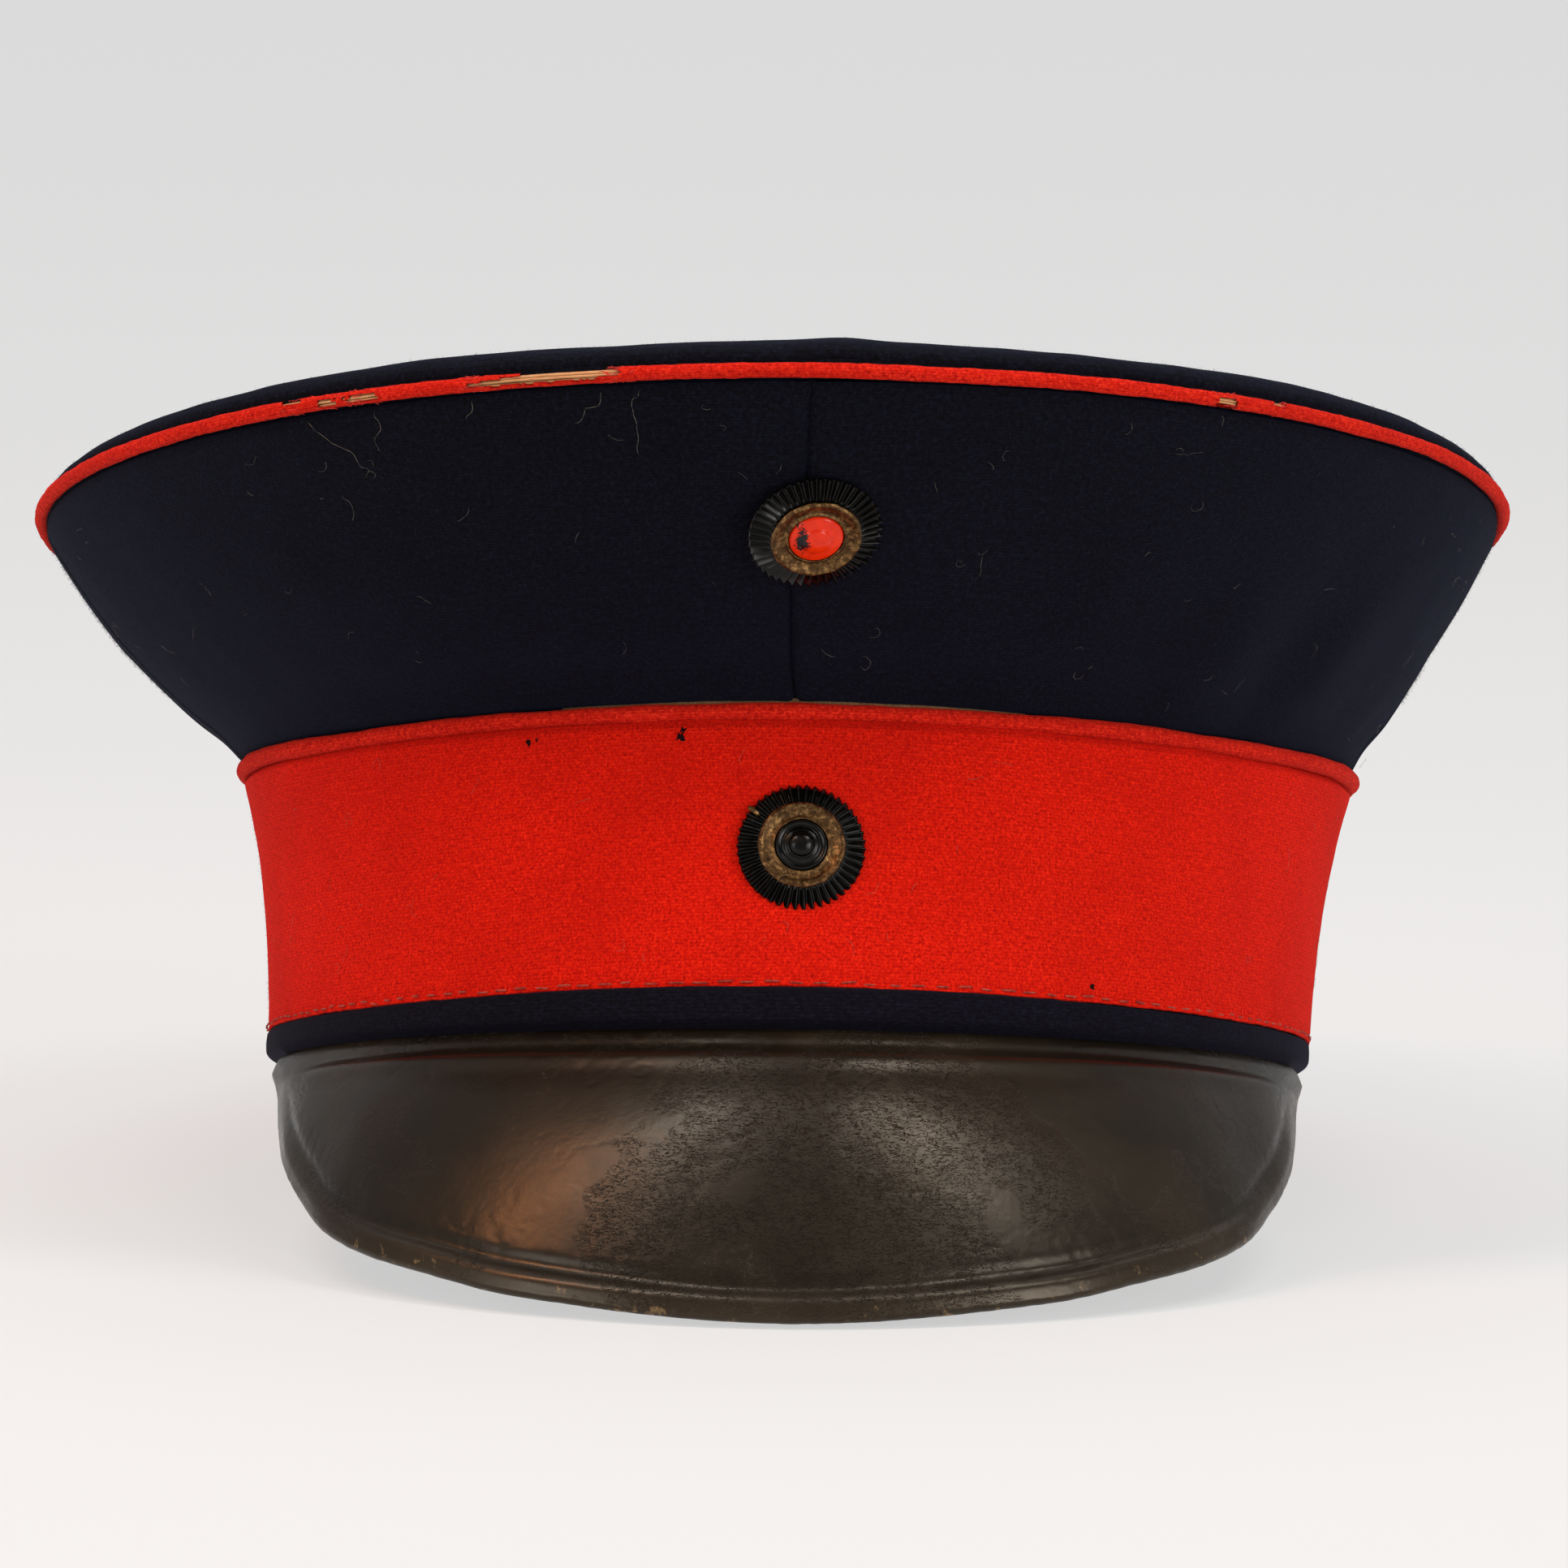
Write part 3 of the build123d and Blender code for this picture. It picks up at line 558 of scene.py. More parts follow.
prof[..., 1] -= rr * np.cos(phi)[:, None]
inn = [pol(r0 - 3.0, phi, z_edge(phi) + 2.5)[:, None], pol(r0 - 3.2, phi, 0 * phi + 0.6)[:, None], pol(r0 - 2.4, phi, 0 * phi - 0.1)[:, None]]
P = place(np.concatenate([prof] + inn, 1))
grid("band_edge", P, NAVYE, arc_uv(P, True, True), True, True, reps=("band_cloth",))

# ------------------------------------------------------------------ roll at the top of the trim
nu2 = n_of(620, 0.9)
ph2 = ring_phi(nu2)
na = 18
al = TWO * np.arange(na) / na
base = pol(100 + 0 * ph2, ph2, 0)
wr = 1.52 + 0.14 * vn(base, 9.0, 11, 2) + 0.05 * vn(base, 2.4, 12)
wr = wr + 0.35 * np.exp(-((ph2 - math.radians(94)) / math.radians(3.0)) ** 2)
zc = z_top(ph2) - 1.35 + 0.18 * vn(base, 30.0, 13)
rc = ell(ph2, TOP_A, TOP_B, TOP_YC) - 0.75
P = pol(rc[:, None] + wr[:, None] * np.cos(al), ph2[:, None] + 0 * al, zc[:, None] + wr[:, None] * 0.95 * np.sin(al))
P = place(P)
grid("trim_roll", P, REDP, arc_uv(P, True, True), True, True, flip=False, reps=("trim_welt",))


# ------------------------------------------------------------------ crown sides
def crown_sheet(a0, a1, name, rep):
    nuq = n_of(185, 0.8)
    nt = n_of(62, 0.7)
    f = np.linspace(math.radians(a0), math.radians(a1), nuq)
    tt = np.linspace(-0.03, 1.0, nt)
    F_, T_ = np.meshgrid(f, tt, indexing="ij")
    r, z = crown_side(F_, T_)
    P0 = pol(r, F_, z)
    d = 0.55 * vn(P0, 40.0, 21, 2) * np.sin(PI * np.clip(T_, 0, 1)) + 0.10 * vn(P0, 7.0, 22)
    # soft vertical rumples on the viewer's right, a shallow hollow above the band
    deg = np.degrees(F_)
    d += 0.8 * np.sin((deg - 38) / 9.0 * PI) * np.exp(-((deg - 48) / 16) ** 2) * np.exp(-((T_ - 0.3) / 0.25) ** 2)
    d -= 0.5 * np.exp(-((T_ - 0.10) / 0.08) ** 2)
    # seams pull in at the quarter's ends
    gap = np.minimum(np.abs(F_ - f[0]), np.abs(F_ - f[-1])) * r
    d -= 0.75 * np.exp(-(gap / 0.42) ** 2) - 0.10 * np.exp(-((gap - 1.6) / 1.0) ** 2)
    # turn in under the roll and under the piping
    d -= 1.2 * sm(-T_ / 0.03 + 0.2)
    d -= 0.5 * sm((T_ - 0.97) / 0.03)
    e = 1e-3
    ra, za = crown_side(F_, T_ - e)
    rb, zb = crown_side(F_, T_ + e)
    L = np.hypot(rb - ra, zb - za)
    out = pol(r + d * (zb - za) / L, F_, z - d * (rb - ra) / L)
    inn = pol(r + (d * 0.3 - 1.3) * (zb - za) / L, F_, z - (d * 0.3 - 1.3) * (rb - ra) / L)[:, ::6][:, ::-1]
    P = place(np.concatenate([out, inn], 1))
    o = grid(name, P, NAVY, arc_uv(P, False, True), False, True, reps=(rep,))
    return o


crown_sheet(0.0, 90, "crown_side_fr", "crown_front_right_quarter")
crown_sheet(-90, 0.0, "crown_side_fl", "crown_front_left_quarter")
crown_sheet(90, 180.0, "crown_side_rr", "crown_rear_right_quarter")
crown_sheet(-180.0, -90, "crown_side_rl", "crown_rear_left_quarter")

# ------------------------------------------------------------------ crown top: rounded, wadded edge
DOME = np.array([(-2.2, -0.6), (-0.9, 0.8), (-0.25, 1.9), (-0.5, 3.1), (-1.8, 4.5), (-4.2, 5.5), (-8.5, 6.4), (-24.0, 8.8), (-55.0, 11.2), (-90.0, 12.4), (-129.5, 12.9)])
RM = 130.4
nu3 = n_of(820, 1.2)
ph3 = ring_phi(nu3)
s_ = np.concatenate([np.linspace(0, 6, n_of(15, 0.45)), np.linspace(6, 10, n_of(120, 2.4))[1:]])
dr = np.interp(s_, np.arange(11), DOME[:, 0])
dh = np.interp(s_, np.arange(11), DOME[:, 1])
for _ in range(3):                         # round off the table
    dr[1:-1] = (dr[:-2] + 2 * dr[1:-1] + dr[2:]) / 4
    dh[1:-1] = (dh[:-2] + 2 * dh[1:-1] + dh[2:]) / 4
tilt = math.atan2(CROWN_RISE, CROWN_B)
# azimuth on the oval
rcl, zcl = crown_line(ph3)
frac = (RM + dr) / RM
hk = puff(ph3)
x = rcl[:, None] * np.sin(ph3)[:, None] * frac
y = CROWN_YC + (-rcl * np.cos(ph3) - CROWN_YC)[:, None] * frac
zb_ = CROWN_Z - CROWN_RISE * (y - CROWN_YC) / CROWN_B
edge = sm(1 - (-dr[None, :] - 6) / 30.0)
H = dh[None, :] * (1 - edge * (1 - hk[:, None]))
P0 = np.stack([x, y, zb_ + H], -1)
H = H + 0.35 * vn(P0, 30.0, 31, 2) * sm(-dr / 4)[None, :] + 0.12 * vn(P0, 6.0, 32)
H = H + 0.5 * np.exp(-((ph3 - 0.035) / 0.05) ** 2)[:, None] * edge
P = place(np.stack([x, y, zb_ + H], -1))
under = place(np.stack([x, y, zb_ + H - 1.2], -1))[:, ::5][:, ::-1]
Pt = np.concatenate([P, under], 1)
grid("crown_top_panel", Pt, NAVY, arc_uv(Pt, True, True), True, True, reps=("crown_top",))

# ------------------------------------------------------------------ piping: red cloth over split cane, torn
nu4 = n_of(830, 0.45)
ph4 = ring_phi(nu4)
na4 = 22
al4 = TWO * np.arange(na4) / na4
rcl, zcl = crown_line(ph4)
b4 = pol(rcl, ph4, zcl)
pr = 1.18 + 0.10 * vn(b4, 8.0, 41, 2) + 0.05 * vn(b4, 1.8, 42)
PH4, AL4 = np.meshgrid(ph4, al4, indexing="ij")
cx, cz = rcl - 0.05, zcl - 0.05 + 0.18 * vn(b4, 24.0, 43)
rad = pr[:, None] * (1 + 0.06 * vn(pol(rcl[:, None] + 3 * np.cos(AL4), PH4, 3 * np.sin(AL4)), 1.2, 44))
P4 = pol(cx[:, None] + rad * np.cos(AL4), PH4, cz[:, None] + rad * np.sin(AL4))
deg = np.degrees(PH4)
jag = 1.0 * vn(P4, 1.4, 45, 2)


def torn(c, half, soft=0.5, lo=-0.2, hi=1.0):
    """mask of a tear: azimuth centre and half width in degrees, band of the tube's round it opens"""
    s = np.sin(AL4)
    return (np.abs(deg - c) + jag * soft < half) & (s > lo) & (np.cos(AL4) > -0.6) & (s < hi)


s4 = np.sin(AL4)
lo_end = -22.7 + 3.4 * sm((s4 + 0.25) / 0.8) + 0.5 * jag
hi_end = -12.2 - 1.6 * sm((-0.1 - s4) / 0.5) + 0.5 * jag
tear = ((deg > lo_end) & (deg < hi_end) & (s4 > -0.75 + 0.12 * jag) & (np.cos(AL4) > -0.6)) | torn(-31.0, 1.3, 0.5, -0.9, 0.1) | torn(-34.0, 0.7, 0.5, -0.9, 0.2) | torn(-37.2, 0.8, 0.5, 0.0, 1.1) \
    | torn(29.2, 0.7, 0.4, -1.1, 0.25) | torn(34.0, 0.55, 0.4, 0.1, 1.1)
P = place(P4)
grid("piping", P, REDP, arc_uv(P, True, True), True, True, keep=~tear, reps=("crown_piping",))
inner4 = place(pol(cx[:, None] + (rad - 0.28) * np.cos(AL4), PH4, cz[:, None] + (rad - 0.28) * np.sin(AL4)))
grid("piping_inside", inner4, REDP, arc_uv(inner4, True, True), True, True, keep=~tear, flip=True)

# cane strands: one long path each, swept as tubes
vs, fs, us, off = [], [], [], 0
for k, (dx_, dz_, rr_) in enumerate([(0.40, 0.42, 0.20), (0.52, -0.02, 0.23), (0.34, -0.46, 0.19), (0.05, 0.70, 0.17), (-0.30, 0.0, 0.42)]):
    n4 = n_of(830, 1.0)
    p5 = ring_phi(n4)
    r5, z5 = crown_line(p5)
    wob = 0.16 * vn(pol(r5, p5, z5 + 20 * k), 9.0, 50 + k)
    a5 = TWO * np.arange(8) / 8
    Pc = pol((r5 + dx_ + wob)[:, None] + rr_ * np.cos(a5), p5[:, None] + 0 * a5, (z5 - 0.05 + dz_ + 0.5 * wob)[:, None] + rr_ * np.sin(a5))
    Pc = place(Pc)
    i, j = np.meshgrid(np.arange(n4), np.arange(8), indexing="ij")
    q = [(i, j), ((i + 1) % n4, j), ((i + 1) % n4, (j + 1) % 8), (i, (j + 1) % 8)]
    fs.append(np.stack([(a * 8 + b).ravel() for a, b in q], -1) + off)
    uvk = arc_uv(Pc, True, True)
    w = [(i, j), (i + 1, j), (i + 1, j + 1), (i, j + 1)]
    us.append(np.stack([uvk[a, b].reshape(-1, 2) for a, b in w], 1))
    vs.append(Pc.reshape(-1, 3))
    off += n4 * 8
mesh_obj("cane_core", np.concatenate(vs), np.concatenate(fs), CANE, np.concatenate(us), reps=("piping_cane",))


# ------------------------------------------------------------------ threads as one mesh
def tubes(name, paths, radius, mat, sides=5, **kw):
    vs, fs, off = [], [], 0
    for pth in paths:
        p = np.asarray(pth, float)
        if len(p) < 2:
            continue
        tg = np.gradient(p, axis=0)
        tg /= np.linalg.norm(tg, axis=1)[:, None] + 1e-12
        ref = np.array([0.31, 0.17, 0.93])
        a = np.cross(tg, ref)
        a /= np.linalg.norm(a, axis=1)[:, None] + 1e-12
        b = np.cross(tg, a)
        an = TWO * np.arange(sides) / sides
        rad_ = np.full(len(p), radius)
        rad_[0] *= 0.35
        rad_[-1] *= 0.35
        ringp = p[:, None] + rad_[:, None, None] * (np.cos(an)[None, :, None] * a[:, None] + np.sin(an)[None, :, None] * b[:, None])
        n = len(p)
        i, j = np.meshgrid(np.arange(n - 1), np.arange(sides), indexing="ij")
        f = np.stack([(i * sides + j).ravel(), ((i + 1) * sides + j).ravel(), ((i + 1) * sides + (j + 1) % sides).ravel(), (i * sides + (j + 1) % sides).ravel()], -1)
        vs.append(ringp.reshape(-1, 3))
        fs.append(f + off)
        off += n * sides
    return mesh_obj(name, np.concatenate(vs), np.concatenate(fs), mat, None, **kw)


rng = np.random.default_rng(7)

# running stitch along the lower edge of the trim
paths = []
total = 600.0
nst = int(total / 3.6)
for k in range(nst):
    p0 = -PI + TWO * k / nst + rng.normal(0, 0.002)
    ln = rng.uniform(1.6, 2.5) / 96.0
    pp = np.linspace(p0, p0 + ln, 7)
    zz = z_edge(pp) + 0.75 + rng.normal(0, 0.10) + np.linspace(0, 1, 7) * rng.normal(0, 0.12)
    lift = 0.16 * np.sin(np.linspace(0, PI, 7))
    paths.append(place(pol(band_r(pp, zz) + 0.16 + lift + 0.35 * 0.6, pp, zz)))
tubes("trim_stitches", paths, 0.00017, PINK, 6, reps=("trim_stitching",))


def surf(kind, p, s, lift=0.0):
    """point on the outside; kind crown: s is t, band: s is z"""
    if kind == "crown":
        r, z = crown_side(p, s)
        return pol(r + 0.35 + lift * 0.7, p, z - lift * 0.7)
    return pol(band_r(p, s) + 0.55 + lift, p, s + 0 * p)


# lint and loose hairs lying on the cloth
paths = []
for k in range(150):
    kind = "crown" if rng.random() < 0.62 else "band"
    p = rng.uniform(-1.5, 1.5) if rng.random() < 0.8 else rng.uniform(-PI, PI)
    s = rng.uniform(0.08, 0.95) if kind == "crown" else rng.uniform(8, 46)
    n = rng.integers(6, 16)
    a = rng.uniform(0, TWO)
    curl = rng.normal(0, 0.20)
    step = rng.uniform(0.12, 0.42)
    pts = []
    for q in range(n):
        pts.append(surf(kind, np.array(p), s, abs(rng.normal(0.12, 0.10)))[()])
        a += curl + rng.normal(0, 0.18)
        p += step * math.cos(a) / 105.0
        s += step * math.sin(a) / (60.0 if kind == "crown" else 1.0)
        s = min(max(s, 0.04), 0.97) if kind == "crown" else min(max(s, 7.5), 47.0)
    paths.append(place(np.array(pts)))
tubes("lint_hairs", paths, 0.000020, LINT, 4)

# long loose threads seen hanging from the piping's tears
paths = []
for (dg, ln, sd) in [(-35.8, 17, 1), (-11.0, 14, 2), (-13.5, 9, 3), (-30, 10, 4), (29, 3, 6), (-22.5, 5, 7)]:
    r2 = np.random.default_rng(sd)
    p, s, a = math.radians(dg), 0.99, -PI / 2 + r2.normal(0, 0.4)
    pts = []
    for q in range(int(ln / 0.6)):
        pts.append(surf("crown", np.array(p), s, 0.35 + 0.25 * math.sin(q * 0.7)))
        a += r2.normal(0, 0.38)
        p += 0.6 * math.cos(a) / 120.0
        s += 0.6 * math.sin(a) / 62.0
        s = min(s, 0.99)
    paths.append(place(np.array(pts)))
tubes("loose_threads", paths, 0.000028, LINT, 4)

# frayed red ends at the tears
paths = []
for c, half, cnt in [(-22.2, 0.6, 46), (-12.5, 0.6, 46), (-31.0, 1.4, 26), (-34.0, 0.8, 14), (-37.2, 0.9, 16), (29.2, 0.8, 16), (34.0, 0.7, 12)]:
    for k in range(cnt):
        dg = rng.normal(c, half * 0.5)
        p = math.radians(dg)
        a = rng.uniform(-2.2, 2.2)
        r1, z1 = crown_line(np.array(p))
        d = rng.uniform(0.5, 1.5)
        sg = rng.choice([-1, 1])
        pts = []
        for q in range(4):
            rr_ = 1.05 + 0.12 * q * rng.uniform(0.2, 1.0)
            pts.append(pol(r1 + rr_ * math.cos(a), np.array(p + sg * q * d / 3 / 130.0), z1 + rr_ * math.sin(a)))
            a += rng.normal(0, 0.15)
        paths.append(place(np.array(pts)))
tubes("frayed_ends", paths, 0.00007, FUZZR, 4)


# ------------------------------------------------------------------ short nap standing on the cloth
# the crown's turned-in foot, behind the roll
phf = ring_phi(n_of(400, 1.0))[:, None]
foot = []
for t_, dd in ((0.07, 0.9), (0.03, 1.0), (0.0, 1.1)):
    rf, zf = crown_side(phf, t_ + 0 * phf)
    foot.append(pol(rf - dd, phf, zf + 0.1))
ef = ell(phf, TOP_A, TOP_B, TOP_YC)
for dd, dz in ((1.7, 0.9), (1.9, 2.2)):
    foot.append(pol(ef - dd, phf, z_top(phf) - dz))
foot = foot + [p - 0.25 * pol(1.0 + 0 * phf, phf, 0 * phf) for p in foot[::-1]]
P = place(np.concatenate(foot, 1))
grid("crown_turned_foot", P, NAVY, arc_uv(P, True, True), True, True)

# moth holes and dark flecks in the trim
rs_h = np.random.default_rng(77)
V, F = [], []
for hx, hz, hr in ((-19.6, 46.9, 0.62), (-19.2, 48.0, 0.50), (-45.6, 46.6, 0.42), (-44.3, 46.9, 0.30), (48.9, 8.4, 0.38)):
    ph_ = math.asin(hx / 100.0)
    k0 = len(V)
    ring_ = []
    for k in range(12):
        a = TWO * k / 12
        q = hr * (1 + 0.35 * rs_h.normal())
        zz = hz + q * math.sin(a) * 1.3
        pp = ph_ + q * math.cos(a) / 100.0
        ring_.append((pp, zz))
    for pp, zz in [(ph_, hz)] + ring_:
        pa_, za_ = np.array([pp]), np.array([zz])
        ra_ = band_r(pa_, za_) + 0.35
        pa0_ = pol(ra_, pa_, za_)
        ra_ = ra_ + 0.35 * vn(pa0_, 34.0, 1, 2) + 0.05 * vn(pa0_, 3.0, 2) + 0.06
        V.append(pol(ra_, pa_, za_)[0])
    F += [(k0, k0 + 1 + k, k0 + 1 + (k + 1) % 12) for k in range(12)]
mesh_obj("moth_holes", place(np.array(V)), np.array(F), plain("hole_dark", (0.012, 0.003, 0.003), 0.95, 0.0, Specular_IOR_Level=0.05).m, None)


def nap(name, kind, count, mat, length, width):
    p = rng.uniform(-PI, PI, count)
    s = rng.uniform(0.32, 1.0, count) if kind == "crown" else rng.uniform(6.5, 48, count)
    if kind == "top":
        s = rng.uniform(0, 1, count) ** 1.6
    if kind == "crown":
        r, z = crown_side(p, s)
        base_ = pol(r, p, z)
        nr, nz_ = 0.72, -0.69
    elif kind == "band":
        base_ = pol(band_r(p, s) + 0.25, p, s)
        nr, nz_ = 1.0, 0.0
    else:
        i = (s * (len(s_) - 1) * 0.45).astype(int)
        u = ((p + PI) / TWO * nu3).astype(int) % nu3
        base_ = np.stack([x[u, i], y[u, i], (zb_ + H)[u, i] - 0.15], -1)
        nr, nz_ = 0.5, 0.85
    dirn = np.stack([nr * np.sin(p), -nr * np.cos(p), nz_ + 0 * p], -1) + rng.normal(0, 0.75, (count, 3))
    dirn /= np.linalg.norm(dirn, axis=1)[:, None]
    side = np.cross(dirn, rng.normal(0, 1, (count, 3)))
    side /= np.linalg.norm(side, axis=1)[:, None]
    L = length * rng.uniform(0.4, 1.3, count)[:, None]
    A = base_ - side * width / 2
    B = base_ + side * width / 2
    C = base_ + dirn * L
    V = place(np.stack([A, B, C], 1).reshape(-1, 3))
    F = np.arange(count * 3).reshape(-1, 3)
    return mesh_obj(name, V, F, mat, None)


nap("crown_nap", "crown", 26000, FUZZN, 0.65, 0.05)
nap("top_nap", "top", 14000, FUZZN, 0.7, 0.05)
nap("trim_nap", "band", 12000, FUZZR, 0.45, 0.05)


# ------------------------------------------------------------------ peak
def rim(phi):
    a = np.abs(np.degrees(phi))
    out = []
    X = RIM[:, 0]
    k = np.clip(np.searchsorted(X, a, "right") - 1, 0, len(X) - 2)
    h = X[k + 1] - X[k]
    u = (a - X[k]) / h
    for c in (1, 2):
        tg = np.zeros(len(X))
        tg[1:-1] = (RIM[2:, c] - RIM[:-2, c]) / (X[2:] - X[:-2])
        tg[-1] = (RIM[-1, c] - RIM[-2, c]) / (X[-1] - X[-2])
        out.append((2 * u ** 3 - 3 * u ** 2 + 1) * RIM[k, c] + (u ** 3 - 2 * u ** 2 + u) * tg[k] * h
                   + (-2 * u ** 3 + 3 * u ** 2) * RIM[k + 1, c] + (u ** 3 - u ** 2) * tg[k + 1] * h)
    return out


PEND = math.radians(72.5)
nup = n_of(260, 0.55)
php = np.linspace(-PEND, PEND, nup)
ns = n_of(56, 0.4)
sv = np.linspace(0, 1, ns)
PHP, SV = np.meshgrid(php, sv, indexing="ij")


def peak_pt(PHP, SV, off):
    """off: along the outward normal of the top face, array or number"""
    rb_, zb2 = band_r(PHP, 0 * PHP) - 0.6, -0.35
    rr_, zr_ = rim(PHP)
    dr_, dz_ = rr_ - rb_, zr_ - zb2
    L = np.hypot(dr_, dz_)
    nx, nz_ = -dz_ / L, dr_ / L
    dg_ = np.degrees(np.abs(PHP))
    cut_ = (1.5 - 2.1 * sm((dg_ - 24.0) / 16.0)) * (1 - sm((dg_ - 60.0) / 10.0)) + 0.6 * sm((dg_ - 60.0) / 10.0)
    dr_, dz_ = dr_ * (1 - cut_ / (L + 0.6)), dz_ * (1 - cut_ / (L + 0.6))
    bul = 0.075 * L * np.sin(PI * SV ** 0.8)
    return rb_ + dr_ * SV + nx * (bul + off), zb2 + dz_ * SV + nz_ * (bul + off), L


_, _, LL = peak_pt(PHP, SV, 0.0)
dist_rim = (1 - SV) * LL                       # mm up from the rim
root = SV * LL
P0 = pol(110 + 0 * PHP, PHP, 40 * SV)
off = 0.10 * vn(P0, 22, 61, 2)
full = sm(LL / 22.0)
fade = sm((math.radians(66) - np.abs(PHP)) / math.radians(26))
off = off + full * fade * 0.62 * np.exp(-((dist_rim - 1.6) / 1.7) ** 2)      # bead along the rim
off = off - full * fade * 0.42 * np.exp(-((dist_rim - 4.9) / 1.35) ** 2)     # hollow above it
off = off + 0.50 * np.exp(-((root - 6.6) / 2.2) ** 2) * full           # soft ridge near the band
off = off - 0.55 * np.exp(-((root - 3.6) / 1.5) ** 2) * full
off = off + 0.05 * vn(P0, 9.0, 63, 2) * sm((root - 8) / 10)
# dry wrinkles running down towards the bead, and a longer crease
wk = np.abs(vn(np.stack([PHP * 110, SV * 16 + 40, 0 * SV], -1), 2.6, 64, 2))
off = off - 0.07 * np.exp(-(wk / 0.10) ** 2) * np.exp(-((dist_rim - 6.5) / 4.0) ** 2) * full
wk2 = np.abs(vn(np.stack([PHP * 110 + 20 * SV, SV * 40, 0 * SV + 7], -1), 7.5, 66, 2))
off = off - 0.045 * np.exp(-(wk2 / 0.03) ** 2) * full
rT, zT, _ = peak_pt(PHP, SV, off)
top = pol(rT, PHP, zT)
# rounded rim, then the underside
rim_pts = []
for a in np.linspace(PI / 2, -PI / 2, 9)[1:-1]:
    r_, z_, L_ = peak_pt(php, np.ones_like(php), -0.85 + (0.85 + off[:, -1] * 0.6) * math.sin(a))
    rb_, zb2 = band_r(php, 0 * php) - 0.6, -0.35
    rr_, zr_ = rim(php)
    ux, uz = (rr_ - rb_) / L_, (zr_ - zb2) / L_
    e = 0.85 * math.cos(a) + 0.06 * vn(pol(120 + 0 * php, php, 0), 1.5, 67)
    rim_pts.append(pol(r_ + ux * e, php, z_ + uz * e)[:, None])
sb = np.linspace(1, 0.0, n_of(50, 1.2))
PB, SB = np.meshgrid(php, sb, indexing="ij")
rB, zB, _ = peak_pt(PB, SB, -1.75 + 0.05 * vn(pol(110 + 0 * PB, PB, 40 * SB), 6, 68))
bottom = pol(rB, PB, zB)
root_pts = [pol(band_r(php, 0 * php) - 4.4, php, 0 * php + 2.5)[:, None], pol(band_r(php, 0 * php) - 2.6, php, 0 * php + 2.5)[:, None],
            pol(band_r(php, 0 * php) - 1.6, php, 0 * php + 0.3)[:, None]]
P = place(np.concatenate([top] + rim_pts + [bottom] + root_pts, 1))
nv = P.shape[1]
uvp = np.zeros((nup, nv + 1, 2))
uvp[..., 0] = (php * 110 / 10)[:, None]
vrow = np.concatenate([np.zeros(ns), np.ones(len(rim_pts)), np.full(len(sb), 0.0), np.zeros(4)])
uvp[..., 1] = vrow[None, :]
uvp[:, :ns, 1] = np.clip(1 - dist_rim / 45.0, 0, 1)
uvp[:, ns + len(rim_pts):ns + len(rim_pts) + len(sb), 1] = np.clip(1 - (1 - SB) * 1.0, 0, 1) * 0.9
pk = grid("peak_leather", P, LEATHER, uvp, False, True, reps=("peak",))
# the liner under the peak
sl = np.linspace(0.25, 0.93, n_of(40, 1.0))
phl = np.linspace(-PEND + 0.06, PEND - 0.06, n_of(230, 1.0))
PL, SL = np.meshgrid(phl, sl, indexing="ij")
r1, z1, _ = peak_pt(PL, SL, -1.85 + 0.06 * vn(pol(110 + 0 * PL, PL, 40 * SL), 5, 69))
r2_, z2_, _ = peak_pt(PL, SL, -2.4 + 0.08 * vn(pol(110 + 0 * PL, PL, 40 * SL), 5, 70))
P = place(np.concatenate([pol(r1, PL, z1), pol(r2_, PL, z2_)[:, ::-1]], 1))
grid("peak_lining", P, LINERL, arc_uv(P, False, True), False, True, reps=("peak_liner",))

# ------------------------------------------------------------------ inside: sweatband, linings
nus = n_of(560, 1.0)
phs = ring_phi(nus)
zsw = np.linspace(0.4, 42.0, n_of(42, 0.8))
PS, ZS = np.meshgrid(phs, zsw, indexing="ij")
base_ = pol(80 + 0 * PS, PS, ZS)
wav = 0.35 * vn(base_, 24, 71, 2) * sm(ZS / 30) + 0.12 * vn(base_, 5, 72)
rin = band_r(PS, ZS) - 6.3 - wav + 0.25 * np.exp(-((ZS - 2.2) / 0.4) ** 2)
rout = band_r(PS, ZS) - 5.25 - wav
P = place(np.concatenate([pol(rin, PS, ZS), pol(rout, PS, ZS)[:, ::-2]], 1))
grid("sweat_leather", P, TAN, arc_uv(P, True, True), True, True, reps=("sweatband",))
paths = []
nst = 190
for k in range(nst):
    p0 = -PI + TWO * k / nst
    pp = np.linspace(p0, p0 + 2.1 / 85, 6)
    zz = 2.2 + 0 * pp + rng.normal(0, 0.05)
    paths.append(place(pol(band_r(pp, zz) - 6.3 - 0.12 * np.sin(np.linspace(0, PI, 6)) * 2, pp, zz)))
tubes("sweat_stitches", paths, 0.00018, BTHREAD, 6, reps=("sweatband_stitching",))

# side lining, gathered in fine pleats
tl = np.linspace(0, 1, n_of(60, 1.2))
PHS, TL = np.meshgrid(phs, tl, indexing="ij")
tc_ = np.clip((TL - 0.15) / 0.85, 0, 1) * 0.78 + 0.10
rc_, zc_ = crown_side(PHS, tc_)
pl = 0.28 * np.sin(PHS * 150) * np.sin(PI * np.clip(TL, 0, 1)) + 0.4 * vn(pol(90 + 0 * PHS, PHS, 50 * TL), 14, 81, 2)
rl = np.where(TL < 0.15, band_r(PHS, 40 + 70 * TL) - 4.5, rc_ - 5.4) + pl * 0.8
zl = np.where(TL < 0.15, 40 + 70 * TL, zc_ + 4.6)
k_ = sm((TL - 0.08) / 0.2)
rl = (band_r(PHS, 40 + 0 * TL) - 4.4) * (1 - k_) + (rc_ - 5.6 + pl) * k_
zl = (40 + 66 * TL) * (1 - k_) + (zc_ + 4.0) * k_
